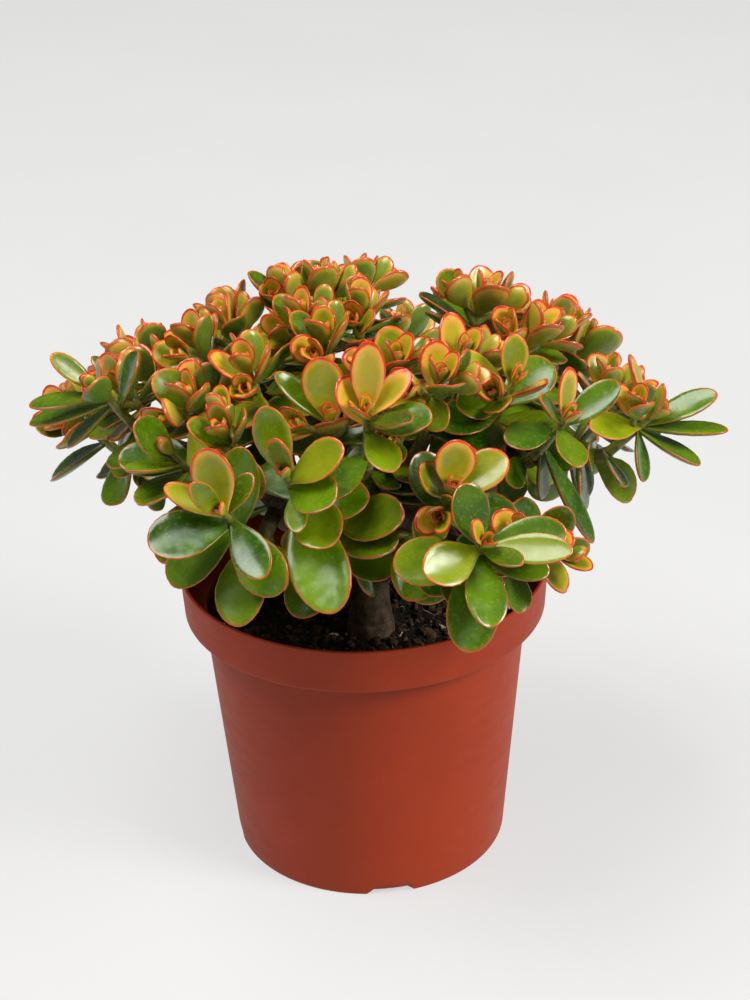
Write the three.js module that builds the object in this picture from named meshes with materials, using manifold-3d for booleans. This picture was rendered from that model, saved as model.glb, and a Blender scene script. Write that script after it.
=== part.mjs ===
// Potted jade plant: a moulded nursery pot, potting soil, a forked trunk with its limbs, sprays of woody
// twigs, and leafy shoots whose fleshy leaves stand in crossed pairs. Millimetres, +Z up, and the origin
// is the middle of the pot's underside. The plant's fullest side faces -Y.
import * as THREE from "three";
import { mergeVertices } from "three/addons/utils/BufferGeometryUtils.js";
import Module from "manifold-3d";

const wasm = await Module();
wasm.setup();

// ---------------------------------------------------------------- driving dimensions

const POT_HEIGHT = 177;
const RIM_RADIUS = 105;
const RIM_BAND = 26;
const BAND_TAPER = 1.5;
const SHOULDER_STEP = 10.5;
const FOOT_RADIUS = 80;
const POT_WALL = 2;
const FLOOR_LIFT = 6;
const FLOOR_THICKNESS = 2;
const FOOT_RING_WIDTH = 6;
const CENTRE_PAD_RADIUS = 24;
const CENTRE_PAD_FLARE = 6;
const POT_SIDES = 32;

const NOTCH_COUNT = 4;
const NOTCH_WIDTH = 28;
const NOTCH_HEIGHT = 4;
const NOTCH_TURN = -83;
const DRAIN_COUNT = 8;
const DRAIN_RADIUS = 6;
const DRAIN_CIRCLE = 54;

const GAP = 0.3;
const SOIL_BELOW_SHOULDER = 6;
const SOIL_CROWN = 3;
const ROOT_DEPTH = 28;

const TRUNK_RADIUS = 14;
const TRUNK_FOOT = new THREE.Vector2(3, -32);
const FORK_HEIGHT = 38;
const LIMB_RADIUS = 8.5;
const BRANCH_RADIUS = 5.6;
const TWIG_RADIUS = 3.6;
const KNOB_LENGTH = 9;
const STEM_RADIUS = 3;
const STEM_TIP_RADIUS = 1.6;
const BARK_SIDES = 6;

const LEAF_SIZE = 1;
const LEAF_THICKNESS = 3.6;
const LEAF_CLEARANCE = 1.1;
const SHOOT_REACH = 1;
const BACK_RING_REACH = [158, 142];
const BACK_RING_HEIGHT = 100;

// Heights above the foot that follow from the sizes above.
const SHOULDER_HEIGHT = POT_HEIGHT - RIM_BAND;
const SOIL_TOP = SHOULDER_HEIGHT + POT_WALL - SOIL_BELOW_SHOULDER;

// ---------------------------------------------------------------- colours

const finish = {
  pot: [0xa14a2c, 0.62],
  soil: [0x2a1c12, 0.98],
  bark: [0x7b6a55, 0.92],
  leaf: [0x4f8a2c, 0.42],
};

function material(kind) {
  const [color, roughness] = finish[kind];
  return new THREE.MeshStandardMaterial({ color, roughness, metalness: 0, flatShading: true });
}

// ---------------------------------------------------------------- solids

function solidOf(geometry) {
  const bare = new THREE.BufferGeometry().copy(geometry);
  bare.deleteAttribute("normal");
  bare.deleteAttribute("uv");
  const merged = mergeVertices(bare, 1e-4);
  return new wasm.Manifold(
    new wasm.Mesh({
      numProp: 3,
      vertProperties: merged.attributes.position.array,
      triVerts: new Uint32Array(merged.index.array),
    }),
  );
}

function union(solids) {
  return solids.reduce((all, next) => all.add(next));
}

function meshOf(name, solid, kind) {
  const { vertProperties, triVerts } = solid.getMesh();
  const geometry = new THREE.BufferGeometry();
  geometry.setAttribute("position", new THREE.BufferAttribute(vertProperties, 3));
  geometry.setIndex(new THREE.BufferAttribute(triVerts, 1));
  geometry.computeVertexNormals();
  const mesh = new THREE.Mesh(geometry, material(kind));
  mesh.name = name;
  return mesh;
}

// A lathe turned about Z: the profile's points are [radius, height].
function turned(profile, sides = POT_SIDES) {
  const points = profile.map(([radius, height]) => new THREE.Vector2(radius, height));
  return new THREE.LatheGeometry(points, sides).rotateX(Math.PI / 2);
}

// A round limb along a curve whose radius runs evenly from one end to the other.
class LimbGeometry extends THREE.BufferGeometry {
  constructor(curve, startRadius, endRadius, steps, sides = BARK_SIDES) {
    super();
    const frames = curve.computeFrenetFrames(steps, false);
    const positions = [];
    const index = [];
    for (let i = 0; i <= steps; i++) {
      const centre = curve.getPointAt(i / steps);
      const radius = THREE.MathUtils.lerp(startRadius, endRadius, i / steps);
      for (let j = 0; j < sides; j++) {
        const angle = (2 * Math.PI * j) / sides;
        const spoke = frames.normals[i].clone().multiplyScalar(radius * Math.cos(angle));
        spoke.addScaledVector(frames.binormals[i], radius * Math.sin(angle));
        positions.push(...spoke.add(centre));
      }
    }
    for (let i = 0; i < steps; i++) {
      for (let j = 0; j < sides; j++) {
        const a = i * sides + j;
        const b = i * sides + ((j + 1) % sides);
        index.push(a, b, b + sides, a, b + sides, a + sides);
      }
    }
    for (let j = 1; j < sides - 1; j++) {
      index.push(0, j + 1, j);
      index.push(steps * sides, steps * sides + j, steps * sides + j + 1);
    }
    this.setAttribute("position", new THREE.Float32BufferAttribute(positions, 3));
    this.setIndex(index);
  }
}

// ---------------------------------------------------------------- pot and soil

const bandFoot = RIM_RADIUS - BAND_TAPER;
const bodyTop = bandFoot - SHOULDER_STEP;
const bodyInside = bodyTop - POT_WALL;
const footInside = FOOT_RADIUS - POT_WALL;
const floorTop = FLOOR_LIFT + FLOOR_THICKNESS;

// The inside radius of the pot's body at a height.
function innerRadius(height) {
  const share = (height - floorTop) / (SHOULDER_HEIGHT + POT_WALL - floorTop);
  return THREE.MathUtils.lerp(footInside, bodyInside, share);
}

function potSolid() {
  const ringInside = FOOT_RADIUS - FOOT_RING_WIDTH;
  const profile = [
    [0, 0],
    [CENTRE_PAD_RADIUS, 0],
    [CENTRE_PAD_RADIUS + CENTRE_PAD_FLARE, FLOOR_LIFT],
    [ringInside - 2, FLOOR_LIFT],
    [ringInside, 0],
    [FOOT_RADIUS, 0],
    [bodyTop, SHOULDER_HEIGHT],
    [bandFoot, SHOULDER_HEIGHT],
    [RIM_RADIUS, POT_HEIGHT],
    [RIM_RADIUS - POT_WALL, POT_HEIGHT],
    [bandFoot - POT_WALL, SHOULDER_HEIGHT + POT_WALL],
    [bodyInside, SHOULDER_HEIGHT + POT_WALL],
    [footInside, floorTop],
    [CENTRE_PAD_RADIUS + CENTRE_PAD_FLARE - 1, floorTop],
    [CENTRE_PAD_RADIUS - 1, FLOOR_THICKNESS],
    [0, FLOOR_THICKNESS],
  ];
  let pot = solidOf(turned(profile));
  for (let i = 0; i < NOTCH_COUNT; i++) {
    pot = pot.subtract(solidOf(notch(NOTCH_TURN + (360 * i) / NOTCH_COUNT)));
  }
  for (let i = 0; i < DRAIN_COUNT; i++) {
    pot = pot.subtract(solidOf(drain((360 * (i + 0.5)) / DRAIN_COUNT)));
  }
  return pot;
}

// A trapezoid cut through the foot ring, wider at the bottom.
function notch(degrees) {
  const outline = new THREE.Shape([
    new THREE.Vector2(-NOTCH_WIDTH / 2, -1),
    new THREE.Vector2(NOTCH_WIDTH / 2, -1),
    new THREE.Vector2(NOTCH_WIDTH / 2 - NOTCH_HEIGHT, NOTCH_HEIGHT),
    new THREE.Vector2(-NOTCH_WIDTH / 2 + NOTCH_HEIGHT, NOTCH_HEIGHT),
  ]);
  const depth = 4 * FOOT_RING_WIDTH;
  const cut = new THREE.ExtrudeGeometry(outline, { depth, bevelEnabled: false });
  cut.translate(0, 0, FOOT_RADIUS - depth / 2);
  cut.rotateX(Math.PI / 2);
  return cut.rotateZ(THREE.MathUtils.degToRad(degrees + 90));
}

function drain(degrees) {
  const hole = new THREE.CylinderGeometry(DRAIN_RADIUS, DRAIN_RADIUS, 4 * floorTop, 8);
  hole.rotateX(Math.PI / 2);
  hole.translate(DRAIN_CIRCLE, 0, 0);
  return hole.rotateZ(THREE.MathUtils.degToRad(degrees));
}

function soilSolid() {
  const bottom = floorTop + GAP;
  const profile = [
    [0, bottom],
    [innerRadius(bottom) - GAP, bottom],
    [innerRadius(SOIL_TOP) - GAP, SOIL_TOP],
    [0.55 * bodyInside, SOIL_TOP + 0.7 * SOIL_CROWN],
    [0, SOIL_TOP + SOIL_CROWN],
  ];
  return solidOf(turned(profile)).subtract(solidOf(rootStump(GAP)));
}

// The trunk's buried end, or with a clearance the socket that it fills.
function rootStump(clearance) {
  const top = SOIL_TOP + SOIL_CROWN + 2 * clearance;
  const foot = SOIL_TOP - ROOT_DEPTH - clearance;
  const radius = TRUNK_RADIUS + clearance;
  const stump = new THREE.CylinderGeometry(radius, 0.8 * radius, top - foot, 12);
  stump.rotateX(Math.PI / 2);
  return stump.translate(TRUNK_FOOT.x, TRUNK_FOOT.y, (top + foot) / 2);
}

// ---------------------------------------------------------------- where the shoots stand

const UP = new THREE.Vector3(0, 0, 1);
const trunkTop = new THREE.Vector3(
  TRUNK_FOOT.x - 1,
  TRUNK_FOOT.y + 5,
  SOIL_TOP + FORK_HEIGHT,
);

// A repeatable number from 0 to 1 for two whole numbers.
function chance(a, b) {
  const wave = Math.sin(12.9898 * (a + 1) + 78.233 * (b + 1)) * 43758.5453;
  return wave - Math.floor(wave);
}

function raised([x, y, height]) {
  return new THREE.Vector3(SHOOT_REACH * x, SHOOT_REACH * y, POT_HEIGHT + height);
}

// Shoots on the plant's front and top. `at` is the growing point as x, y and height above the rim, and
// `turn` is the turn of the youngest leaf pair in degrees. `pairs` lists the crossed pairs that it bears,
// counted from the youngest, when these aren't ALL_PAIRS. Its `leaves` are set one by one: how far below
// the growing point the leaf starts, its tip as x, y and height above the rim, and its width. `sides`
// side tips fork from its stem: two, or none beside leaves set one by one, when it doesn't say.
const FRONT_SHOOTS = [
  {
    at: [-137, -45, 130],
    turn: 20,
    pairs: [0, 1, 2],
    leaves: [
      [3, -160, -40, 146, 11],
      [3, -152, -34, 146, 12],
      [6, -171, -50, 120, 15],
      [12, -173, -40, 106, 14],
      [14, -154, -40, 93, 14],
    ],
  },
  { at: [-130, -8, 115], turn: 70, sides: 2, leaves: [[26, -132, -18, 66, 12]] },
  { at: [-120, 28, 110], turn: 10 },
  { at: [-87, -60, 129], turn: 40 },
  { at: [-68, -98, 126], turn: 75 },
  { at: [-82, -28, 118], turn: 15 },
  { at: [-88, 10, 131], turn: 60 },
  { at: [-57, -58, 144], turn: 80 },
  { at: [-73, 36, 132], turn: 30 },
  { at: [-41, 54, 143], turn: 70 },
  {
    at: [-97, -88, 112],
    turn: 35,
    leaves: [
      [8, -114, -96, 131, 20],
      [12, -116, -104, 115, 14],
      [14, -123, -88, 102, 20],
    ],
  },
  {
    at: [-68, -140, 103],
    turn: 60,
    pairs: [3, 4],
    leaves: [
      [3, -73, -132, 134, 20],
      [3, -83, -153, 125, 11],
      [7, -95, -142, 122, 13],
      [5, -55, -134, 120, 11],
      [14, -104, -142, 85, 25],
      [13, -86, -152, 79, 20],
      [20, -96, -130, 60, 24],
      [12, -47, -158, 76, 18],
      [20, -51, -147, 56, 23],
      [24, -56, -116, 126, 21],
    ],
  },
  {
    at: [-37, -128, 116],
    turn: 30,
    pairs: [0, 3, 4],
    leaves: [
      [4, -47, -121, 150, 17],
      [2, -39, -139, 142, 13],
      [2, -26, -118, 142, 15],
      [7, -7, -132, 131, 20],
      [12, -13, -147, 108, 22],
      [18, -31, -140, 90, 11],
      [28, -15, -152, 51, 28],
    ],
  },
  {
    at: [-15, -86, 127],
    turn: 10,
    sides: 2,
    leaves: [
      [3, -20, -80, 158, 20],
      [5, -37, -86, 159, 14],
      [8, -8, -98, 141, 12],
    ],
  },
  {
    at: [4, -116, 143],
    turn: 45,
    pairs: [0, 1, 3, 4],
    leaves: [
      [3, 5, -108, 177, 16],
      [4, 23, -110, 162, 13],
      [5, -7, -118, 167, 11],
      [9, 35, -126, 140, 20],
      [7, 29, -137, 149, 14],
      [16, 16, -134, 118, 16],
      [18, 31, -122, 126, 20],
    ],
  },
  { at: [19, -62, 146], turn: 15 },
  { at: [2, 8, 149], turn: 80 },
  { at: [-21, 42, 151], turn: 20 },
  { at: [-30, -4, 149], turn: 45 },
  { at: [-18, -38, 151], turn: 70 },
  { at: [54, -50, 145], turn: 35 },
  { at: [69, 12, 152], turn: 10 },
  { at: [86, 46, 130], turn: 60 },
  { at: [96, -4, 138], turn: 25 },
  { at: [112, 28, 130], turn: 80 },
  {
    at: [80, -68, 136],
    turn: 50,
    sides: 1,
    leaves: [
      [4, 79, -58, 158, 16],
      [12, 70, -80, 133, 22],
      [16, 41, -84, 117, 22],
      [8, 46, -72, 143, 15],
    ],
  },
  { at: [40, -92, 149], turn: 20 },
  {
    at: [104, -90, 124],
    turn: 40,
    pairs: [0],
    leaves: [
      [2, 104, -84, 150, 12],
      [6, 131, -82, 140, 15],
      [4, 89, -94, 138, 10],
      [11, 73, -92, 113, 17],
      [8, 108, -106, 104, 17],
      [10, 126, -100, 100, 15],
      [24, 117, -84, 50, 13],
      [26, 85, -78, 72, 14],
    ],
  },
  {
    at: [157, -36, 100],
    turn: 15,
    pairs: [0],
    sides: 1,
    leaves: [
      [3, 133, -38, 130, 12],
      [3, 146, -30, 124, 11],
      [3, 154, -44, 121, 11],
      [5, 172, -36, 122, 12],
      [8, 191, -32, 109, 15],
      [10, 196, -38, 89, 12],
      [12, 180, -44, 72, 16],
      [12, 149, -50, 68, 13],
      [10, 121, -48, 98, 18],
    ],
  },
  {
    at: [59, -150, 86],
    turn: 30,
    pairs: [],
    leaves: [
      [4, 46, -142, 114, 20],
      [1, 51, -160, 104, 9],
      [4, 66, -138, 113, 12],
      [6, 74, -150, 115, 15],
      [12, 99, -140, 86, 20],
      [8, 101, -155, 84, 15],
      [16, 90, -146, 66, 15],
      [6, 76, -168, 83, 11],
      [9, 29, -163, 76, 21],
      [14, 15, -146, 71, 23],
      [18, 50, -160, 32, 25],
      [14, 60, -171, 51, 20],
    ],
  },
  {
    at: [45, -118, 101],
    turn: 75,
    sides: 1,
    leaves: [
      [3, 47, -112, 125, 20],
      [6, 71, -112, 116, 19],
    ],
  },
  { at: [21, -86, 124], turn: 55, pairs: [0, 1, 2, 3] },
  { at: [91, -124, 71], turn: 10, pairs: [0, 1] },
  {
    at: [-16, -98, 76],
    turn: 45,
    pairs: [0, 1, 3, 4],
    sides: 1,
    leaves: [
      [4, 22, -122, 86, 25],
      [9, 17, -128, 72, 25],
    ],
  },
];

// Behind, the shoots stand evenly along one outer ring and one inner ring of the same dome.
function backShoots() {
  const rings = [
    { count: 8, from: 6, to: 174, share: 1, height: BACK_RING_HEIGHT - 8 },
    { count: 3, from: 42, to: 138, share: 0.62, height: BACK_RING_HEIGHT + 30 },
  ];
  const shoots = [];
  for (const ring of rings) {
    for (let i = 0; i < ring.count; i++) {
      const along = i / (ring.count - 1);
      const angle = THREE.MathUtils.degToRad(THREE.MathUtils.lerp(ring.from, ring.to, along));
      const reach = ring.share * (0.94 + 0.12 * chance(i, 40));
      const x = Math.round(BACK_RING_REACH[0] * reach * Math.cos(angle));
      const y = Math.round(BACK_RING_REACH[1] * reach * Math.sin(angle));
      const height = Math.round(ring.height + 16 * (chance(i, 41) - 0.5));
      shoots.push({ at: [x, y, height], turn: 90 * chance(i, 42) });
    }
  }
  return shoots;
}

const LEAN = 0.8;
const STEM_BELOW_LEAVES = 5;
const ALL_PAIRS = [0, 1, 2, 3, 4];
const PAIR_BELOW = [4, 10.5, 18.5, 28, 38];
const PAIR_LENGTH = [21, 28, 34, 39, 43];
const PAIR_INCLINE = [22, 40, 60, 78, 96];
const PAIR_BEND = [0.05, 0.1, 0.06, 0.02, -0.02];
const LOWEST_CHOSEN_PAIR = 3;

const SIDE_PAIRS = [0, 1, 2];
const SIDE_BELOW = 16;
const SIDE_INCLINE = 44;
const SIDE_LENGTH = 19;
const SIDE_SHARE = 0.84;
const SIDE_STEM = 0.75;

// A tip is a straight leafy stem of a shoot: its growing point or heart, its axis with two directions
// across it, and its foot. The leaves of a side tip have SIDE_SHARE of the size.
function makeTip({ number, shoot, heart, axis, length, turn, pairs, share = 1, chosen = [] }) {
  const across = new THREE.Vector3().crossVectors(axis, new THREE.Vector3(0, 1, 0)).normalize();
  const ahead = new THREE.Vector3().crossVectors(axis, across);
  const foot = heart.clone().addScaledVector(axis, -length);
  return { number, shoot, heart, axis, across, ahead, length, foot, turn, pairs, share, chosen, leaves: [] };
}

// The direction square to a tip's stem at a turn round it.
function outward(tip, degrees) {
  const angle = THREE.MathUtils.degToRad(degrees);
  return new THREE.Vector3()
    .addScaledVector(tip.across, Math.cos(angle))
    .addScaledVector(tip.ahead, Math.sin(angle));
}

function mainTip({ at, turn, pairs = ALL_PAIRS, leaves: chosen = [] }, number) {
  const heart = raised(at);
  const axis = new THREE.Vector3(LEAN * heart.x, LEAN * heart.y, heart.z - SHOULDER_HEIGHT).normalize();
  const length = PAIR_BELOW[Math.max(LOWEST_CHOSEN_PAIR, ...pairs)] + STEM_BELOW_LEAVES;
  return makeTip({ number, shoot: number, heart, axis, length, turn, pairs, chosen });
}

// Side tips fork from a main tip's stem in the plane of its youngest leaves, at equal turns.
function sideTips(main, sides) {
  return Array.from({ length: sides }, (_, k) => {
    const lean = THREE.MathUtils.degToRad(SIDE_INCLINE + 10 * (chance(main.number, 50 + k) - 0.5));
    const turn = main.turn + (360 * k) / sides + 20 * (chance(main.number, 60 + k) - 0.5);
    const axis = main.axis.clone().multiplyScalar(Math.cos(lean));
    axis.addScaledVector(outward(main, turn), Math.sin(lean));
    const length = SIDE_LENGTH * (0.9 + 0.25 * chance(main.number, 70 + k));
    const heart = main.heart.clone().addScaledVector(main.axis, -SIDE_BELOW).addScaledVector(axis, length);
    const number = 100 + 4 * main.number + k;
    const ownTurn = 90 * chance(number, 80);
    const own = { number, shoot: main.number, heart, axis, length, turn: ownTurn };
    return makeTip({ ...own, pairs: SIDE_PAIRS, share: SIDE_SHARE });
  });
}

const shootFacts = [...FRONT_SHOOTS, ...backShoots()];
const shoots = shootFacts.map(mainTip);
const tips = [
  ...shoots,
  ...shoots.flatMap((main, i) => sideTips(main, shootFacts[i].sides ?? (main.chosen.length > 0 ? 0 : 2))),
];

// ---------------------------------------------------------------- wood

// Ends of the main limbs above the fork, and the knuckles where the sprays of twigs begin.
const LIMBS = {
  left: [-30, -30, 34],
  right: [32, -28, 34],
  back: [0, 16, 36],
};
const KNUCKLES = {
  far_left: ["left", -82, -14, 66],
  left: ["left", -62, -46, 76],
  front_left: ["left", -42, -82, 72],
  top_left: ["left", -46, 6, 88],
  front: ["right", 12, -58, 58],
  front_right: ["right", 50, -92, 52],
  right: ["right", 76, -48, 80],
  far_right: ["right", 104, -16, 68],
  top: ["back", 2, -20, 96],
  top_right: ["back", 60, 12, 88],
  back_left: ["back", -46, 64, 76],
  back_right: ["back", 50, 66, 74],
};

// A curve that leaves one point along a direction and comes in to another along a second direction.
function bentPath(start, leaving, end, arriving) {
  const reach = 0.4 * start.distanceTo(end);
  return new THREE.CubicBezierCurve3(
    start,
    start.clone().addScaledVector(leaving, reach),
    end.clone().addScaledVector(arriving, -reach),
    end,
  );
}

function along(start, end) {
  return end.clone().sub(start).normalize();
}

function rising(direction, lift) {
  return direction.clone().addScaledVector(UP, lift).normalize();
}

const limbs = [];
const sprays = [];

function growLimb(owner, curve, startRadius, endRadius, steps) {
  limbs.push({ owner, curve, startRadius, endRadius, steps });
}

// Trunk up to the fork, main limbs from the fork, and one branch from a limb's end to each knuckle. The
// trunk leaves the soil a little slimmer than its buried stump.
const trunkFoot = new THREE.Vector3(TRUNK_FOOT.x, TRUNK_FOOT.y, SOIL_TOP);
growLimb("trunk", bentPath(trunkFoot, UP, trunkTop, UP), 0.92 * TRUNK_RADIUS, 0.78 * TRUNK_RADIUS, 3);
for (const [limbName, place] of Object.entries(LIMBS)) {
  const limbEnd = raised(place);
  const limbStart = trunkTop.clone().addScaledVector(UP, -0.5 * TRUNK_RADIUS);
  const limbWay = rising(along(limbStart, limbEnd), 0.3);
  growLimb("trunk", bentPath(limbStart, limbWay, limbEnd, limbWay), 1.2 * LIMB_RADIUS, LIMB_RADIUS, 3);
  const branches = Object.entries(KNUCKLES).filter(([, [parent]]) => parent === limbName);
  branches.forEach(([name, [, ...at]], i) => {
    const knuckle = raised(at);
    const way = rising(along(limbEnd, knuckle), 0.35);
    const start = limbEnd.clone().addScaledVector(limbWay, -LIMB_RADIUS * (0.4 + 0.25 * i));
    growLimb("trunk", bentPath(start, limbWay, knuckle, way), 0.8 * LIMB_RADIUS, BRANCH_RADIUS, 4);
    sprays.push({ name: "stems_" + name, knuckle, way, shoots: [] });
  });
}

// A spray begins with a short knob that continues its branch.
for (const { name, knuckle, way } of sprays) {
  const start = knuckle.clone().addScaledVector(way, GAP);
  const end = start.clone().addScaledVector(way, KNOB_LENGTH);
  growLimb(name, bentPath(start, way, end, way), BRANCH_RADIUS, 0.9 * BRANCH_RADIUS, 1);
}

// Each shoot's twig starts from the knuckle nearest to the shoot's foot, and meets the shoot end to end.
for (const shoot of shoots) {
  const far = (spray) => spray.knuckle.distanceTo(shoot.foot);
  const spray = sprays.reduce((best, next) => (far(next) < far(best) ? next : best));
  const depth = KNOB_LENGTH * (0.25 + 0.12 * spray.shoots.length);
  spray.shoots.push(shoot);
  const start = spray.knuckle.clone().addScaledVector(spray.way, GAP + depth);
  const end = shoot.foot.clone().addScaledVector(shoot.axis, -GAP);
  growLimb(spray.name, bentPath(start, spray.way, end, shoot.axis), 0.8 * BRANCH_RADIUS, TWIG_RADIUS, 3);
}

function woodSolid(owner) {
  const own = limbs.filter((limb) => limb.owner === owner);
  const solids = own.map(({ curve, startRadius, endRadius, steps }) =>
    solidOf(new LimbGeometry(curve, startRadius, endRadius, steps)),
  );
  return union(solids);
}

// ---------------------------------------------------------------- leaves

const WIDEST = 0.6;
const LEAF_NECK = 0.2;
const LONG_LEAF = 36;
const LEAF_ROOT = 0.2 * STEM_RADIUS;

// Half the width at a share u of the length: a narrow neck, an even swell and a round tip.
function halfWidth(leaf, u) {
  if (u > WIDEST) return (leaf.width / 2) * Math.sqrt(Math.max(0, 1 - ((u - WIDEST) / (1 - WIDEST)) ** 2));
  const swell = Math.sin((Math.PI / 2) * (Math.max(0, u) / WIDEST)) ** 1.3;
  return (leaf.width / 2) * (LEAF_NECK + (1 - LEAF_NECK) * swell);
}

// Height of the leaf's middle surface over its own plane: it bends along its length and cups across.
function rise(leaf, u, v) {
  return leaf.bend * leaf.length * u * u + leaf.cup * halfWidth(leaf, u) * v * v;
}

function leafPoint(leaf, u, v) {
  return leaf.foot
    .clone()
    .addScaledVector(leaf.along, leaf.length * u)
    .addScaledVector(leaf.side, halfWidth(leaf, u) * v)
    .addScaledVector(leaf.face, rise(leaf, u, v));
}

// Points on the leaf's edge and midrib that stand for it where neighbours are kept apart.
const FEELERS = [
  [0.3, 0], [0.5, 0], [0.7, 0], [0.87, 0], [1, 0],
  [0.3, 1], [0.45, 1], [0.6, 1], [0.75, 1], [0.88, 1], [0.96, 1],
  [0.3, -1], [0.45, -1], [0.6, -1], [0.75, -1], [0.88, -1], [0.96, -1],
];

function finishLeaf(leaf) {
  leaf.side = new THREE.Vector3().crossVectors(leaf.face, leaf.along).normalize();
  leaf.thickness = LEAF_THICKNESS * Math.sqrt(leaf.length / 43);
  leaf.feelers = FEELERS.map(([u, v]) => leafPoint(leaf, u, v));
  leaf.middle = leafPoint(leaf, 0.55, 0);
  return leaf;
}

// Whether a point, with a radius of its own, comes within the clearance of the leaf's body.
function touches(leaf, point, radius) {
  const offset = point.clone().sub(leaf.foot);
  const u = offset.dot(leaf.along) / leaf.length;
  if (u < 0.06 || u > 1 + (LEAF_CLEARANCE + radius) / leaf.length) return false;
  const inside = Math.min(u, 1);
  const half = Math.max(halfWidth(leaf, inside), 0.5);
  const v = offset.dot(leaf.side) / half;
  if (Math.abs(v) * half > half + LEAF_CLEARANCE + radius) return false;
  const height = offset.dot(leaf.face) - rise(leaf, inside, Math.min(1, Math.abs(v)));
  return Math.abs(height) < leaf.thickness / 2 + radius + LEAF_CLEARANCE;
}

function leavesTouch(a, b) {
  if (a.middle.distanceTo(b.middle) > 0.75 * (a.length + b.length)) return false;
  return (
    a.feelers.some((point) => touches(b, point, 0.35 * a.thickness)) ||
    b.feelers.some((point) => touches(a, point, 0.35 * b.thickness))
  );
}

// The wood as a run of points with radii, one every few millimetres.
const WOOD_STEP = 4;
const woodPoints = [];
for (const limb of limbs) {
  const count = Math.ceil(limb.curve.getLength() / WOOD_STEP);
  for (let i = 0; i <= count; i++) {
    const radius = THREE.MathUtils.lerp(limb.startRadius, limb.endRadius, i / count);
    woodPoints.push({ point: limb.curve.getPointAt(i / count), radius, tip: null });
  }
}
for (const tip of tips) {
  const count = Math.ceil(tip.length / WOOD_STEP);
  for (let i = 0; i <= count; i++) {
    const point = tip.heart.clone().addScaledVector(tip.axis, (-tip.length * i) / count);
    woodPoints.push({ point, radius: STEM_RADIUS, tip });
  }
}

function meetsWood(leaf) {
  return woodPoints.some(
    ({ point, radius, tip }) =>
      tip !== leaf.tip &&
      point.distanceTo(leaf.middle) < leaf.length &&
      point.distanceTo(leaf.foot) > radius + STEM_RADIUS + 2 &&
      touches(leaf, point, radius),
  );
}

// Whether a leaf would meet the pot's rim or the soil.
function meetsPot(leaf) {
  const margin = leaf.thickness / 2 + 2 * LEAF_CLEARANCE;
  return leaf.feelers.some((point) => {
    const out = Math.hypot(point.x, point.y);
    const nearRim = point.z < POT_HEIGHT + margin && out > bodyInside - margin;
    const outside = out > RIM_RADIUS + margin;
    return (nearRim && !outside) || (out < RIM_RADIUS && point.z < SOIL_TOP + SOIL_CROWN + margin);
  });
}

const placed = [];

function fits(leaf) {
  if (meetsPot(leaf) || meetsWood(leaf)) return false;
  return !placed.some((other) => (other.tip !== leaf.tip || other.chosen) && leavesTouch(leaf, other));
}

function place(leaf) {
  placed.push(leaf);
  leaf.tip.leaves.push(leaf);
}

// Ways a leaf gives way to what stands already: turn round the stem, incline, share of its size.
const GIVE_WAY = [
  [0, 0, 1],
  [14, 0, 1],
  [-14, 0, 1],
  [0, -12, 1],
  [0, 12, 1],
  [24, -8, 0.92],
  [-24, -8, 0.92],
  [0, -22, 0.88],
  [0, 22, 0.88],
  [34, -14, 0.8],
  [-34, -14, 0.8],
  [0, -10, 0.65],
];
const LEAF_CUP = 0.2;
const CHOSEN_BEND = 0.06;

// A leaf set on a tip by its start below the growing point, its turn round the stem and its incline
// from it, both in degrees. Its upper face looks back to the stem's axis.
function setLeaf(tip, { below, turn, incline, length, width, bend, chosen }, [turnBy, inclineBy, sizeBy]) {
  const lean = THREE.MathUtils.degToRad(Math.max(4, incline + inclineBy));
  const out = outward(tip, turn + turnBy);
  return finishLeaf({
    tip,
    chosen,
    foot: tip.heart.clone().addScaledVector(tip.axis, -below).addScaledVector(out, LEAF_ROOT),
    along: tip.axis.clone().multiplyScalar(Math.cos(lean)).addScaledVector(out, Math.sin(lean)),
    face: tip.axis.clone().multiplyScalar(Math.sin(lean)).addScaledVector(out, -Math.cos(lean)),
    length: length * LEAF_SIZE * sizeBy,
    width: width * LEAF_SIZE * sizeBy,
    bend,
    cup: LEAF_CUP,
  });
}

// A crossed pair's leaf, with a little of its own in its turn, incline and size.
function pairLeaf(tip, pair, opposite) {
  const seed = 20 * tip.number + 2 * pair + opposite;
  const length = tip.share * PAIR_LENGTH[pair] * (0.92 + 0.16 * chance(seed, 3));
  return {
    below: tip.share * PAIR_BELOW[pair],
    turn: tip.turn + 90 * pair + 180 * opposite + 12 * (chance(seed, 1) - 0.5),
    incline: PAIR_INCLINE[pair] + 8 * (chance(seed, 2) - 0.5),
    length,
    width: length * (0.56 + 0.1 * chance(seed, 4)),
    bend: PAIR_BEND[pair],
  };
}

// A leaf given by its tip.
function chosenLeaf(tip, [below, x, y, height, width]) {
  const reach = raised([x, y, height]).sub(tip.heart).addScaledVector(tip.axis, below);
  const out = new THREE.Vector2(reach.dot(tip.across), reach.dot(tip.ahead));
  const incline = THREE.MathUtils.radToDeg(Math.atan2(out.length() - LEAF_ROOT, reach.dot(tip.axis)));
  return {
    chosen: true,
    below,
    turn: THREE.MathUtils.radToDeg(out.angle()),
    incline,
    length: reach.length(),
    width,
    bend: CHOSEN_BEND,
  };
}

function placeWhereItFits(tip, leaf) {
  const found = GIVE_WAY.map((way) => setLeaf(tip, leaf, way)).find(fits);
  if (found) place(found);
}

for (const tip of tips) {
  for (const leaf of tip.chosen) {
    placeWhereItFits(tip, chosenLeaf(tip, leaf));
  }
}

// Pair by pair from the youngest, so that older leaves give way to every tip's young ones.
for (const pair of ALL_PAIRS) {
  for (const tip of tips.filter(({ pairs }) => pairs.includes(pair))) {
    placeWhereItFits(tip, pairLeaf(tip, pair, 0));
    placeWhereItFits(tip, pairLeaf(tip, pair, 1));
  }
}

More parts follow.
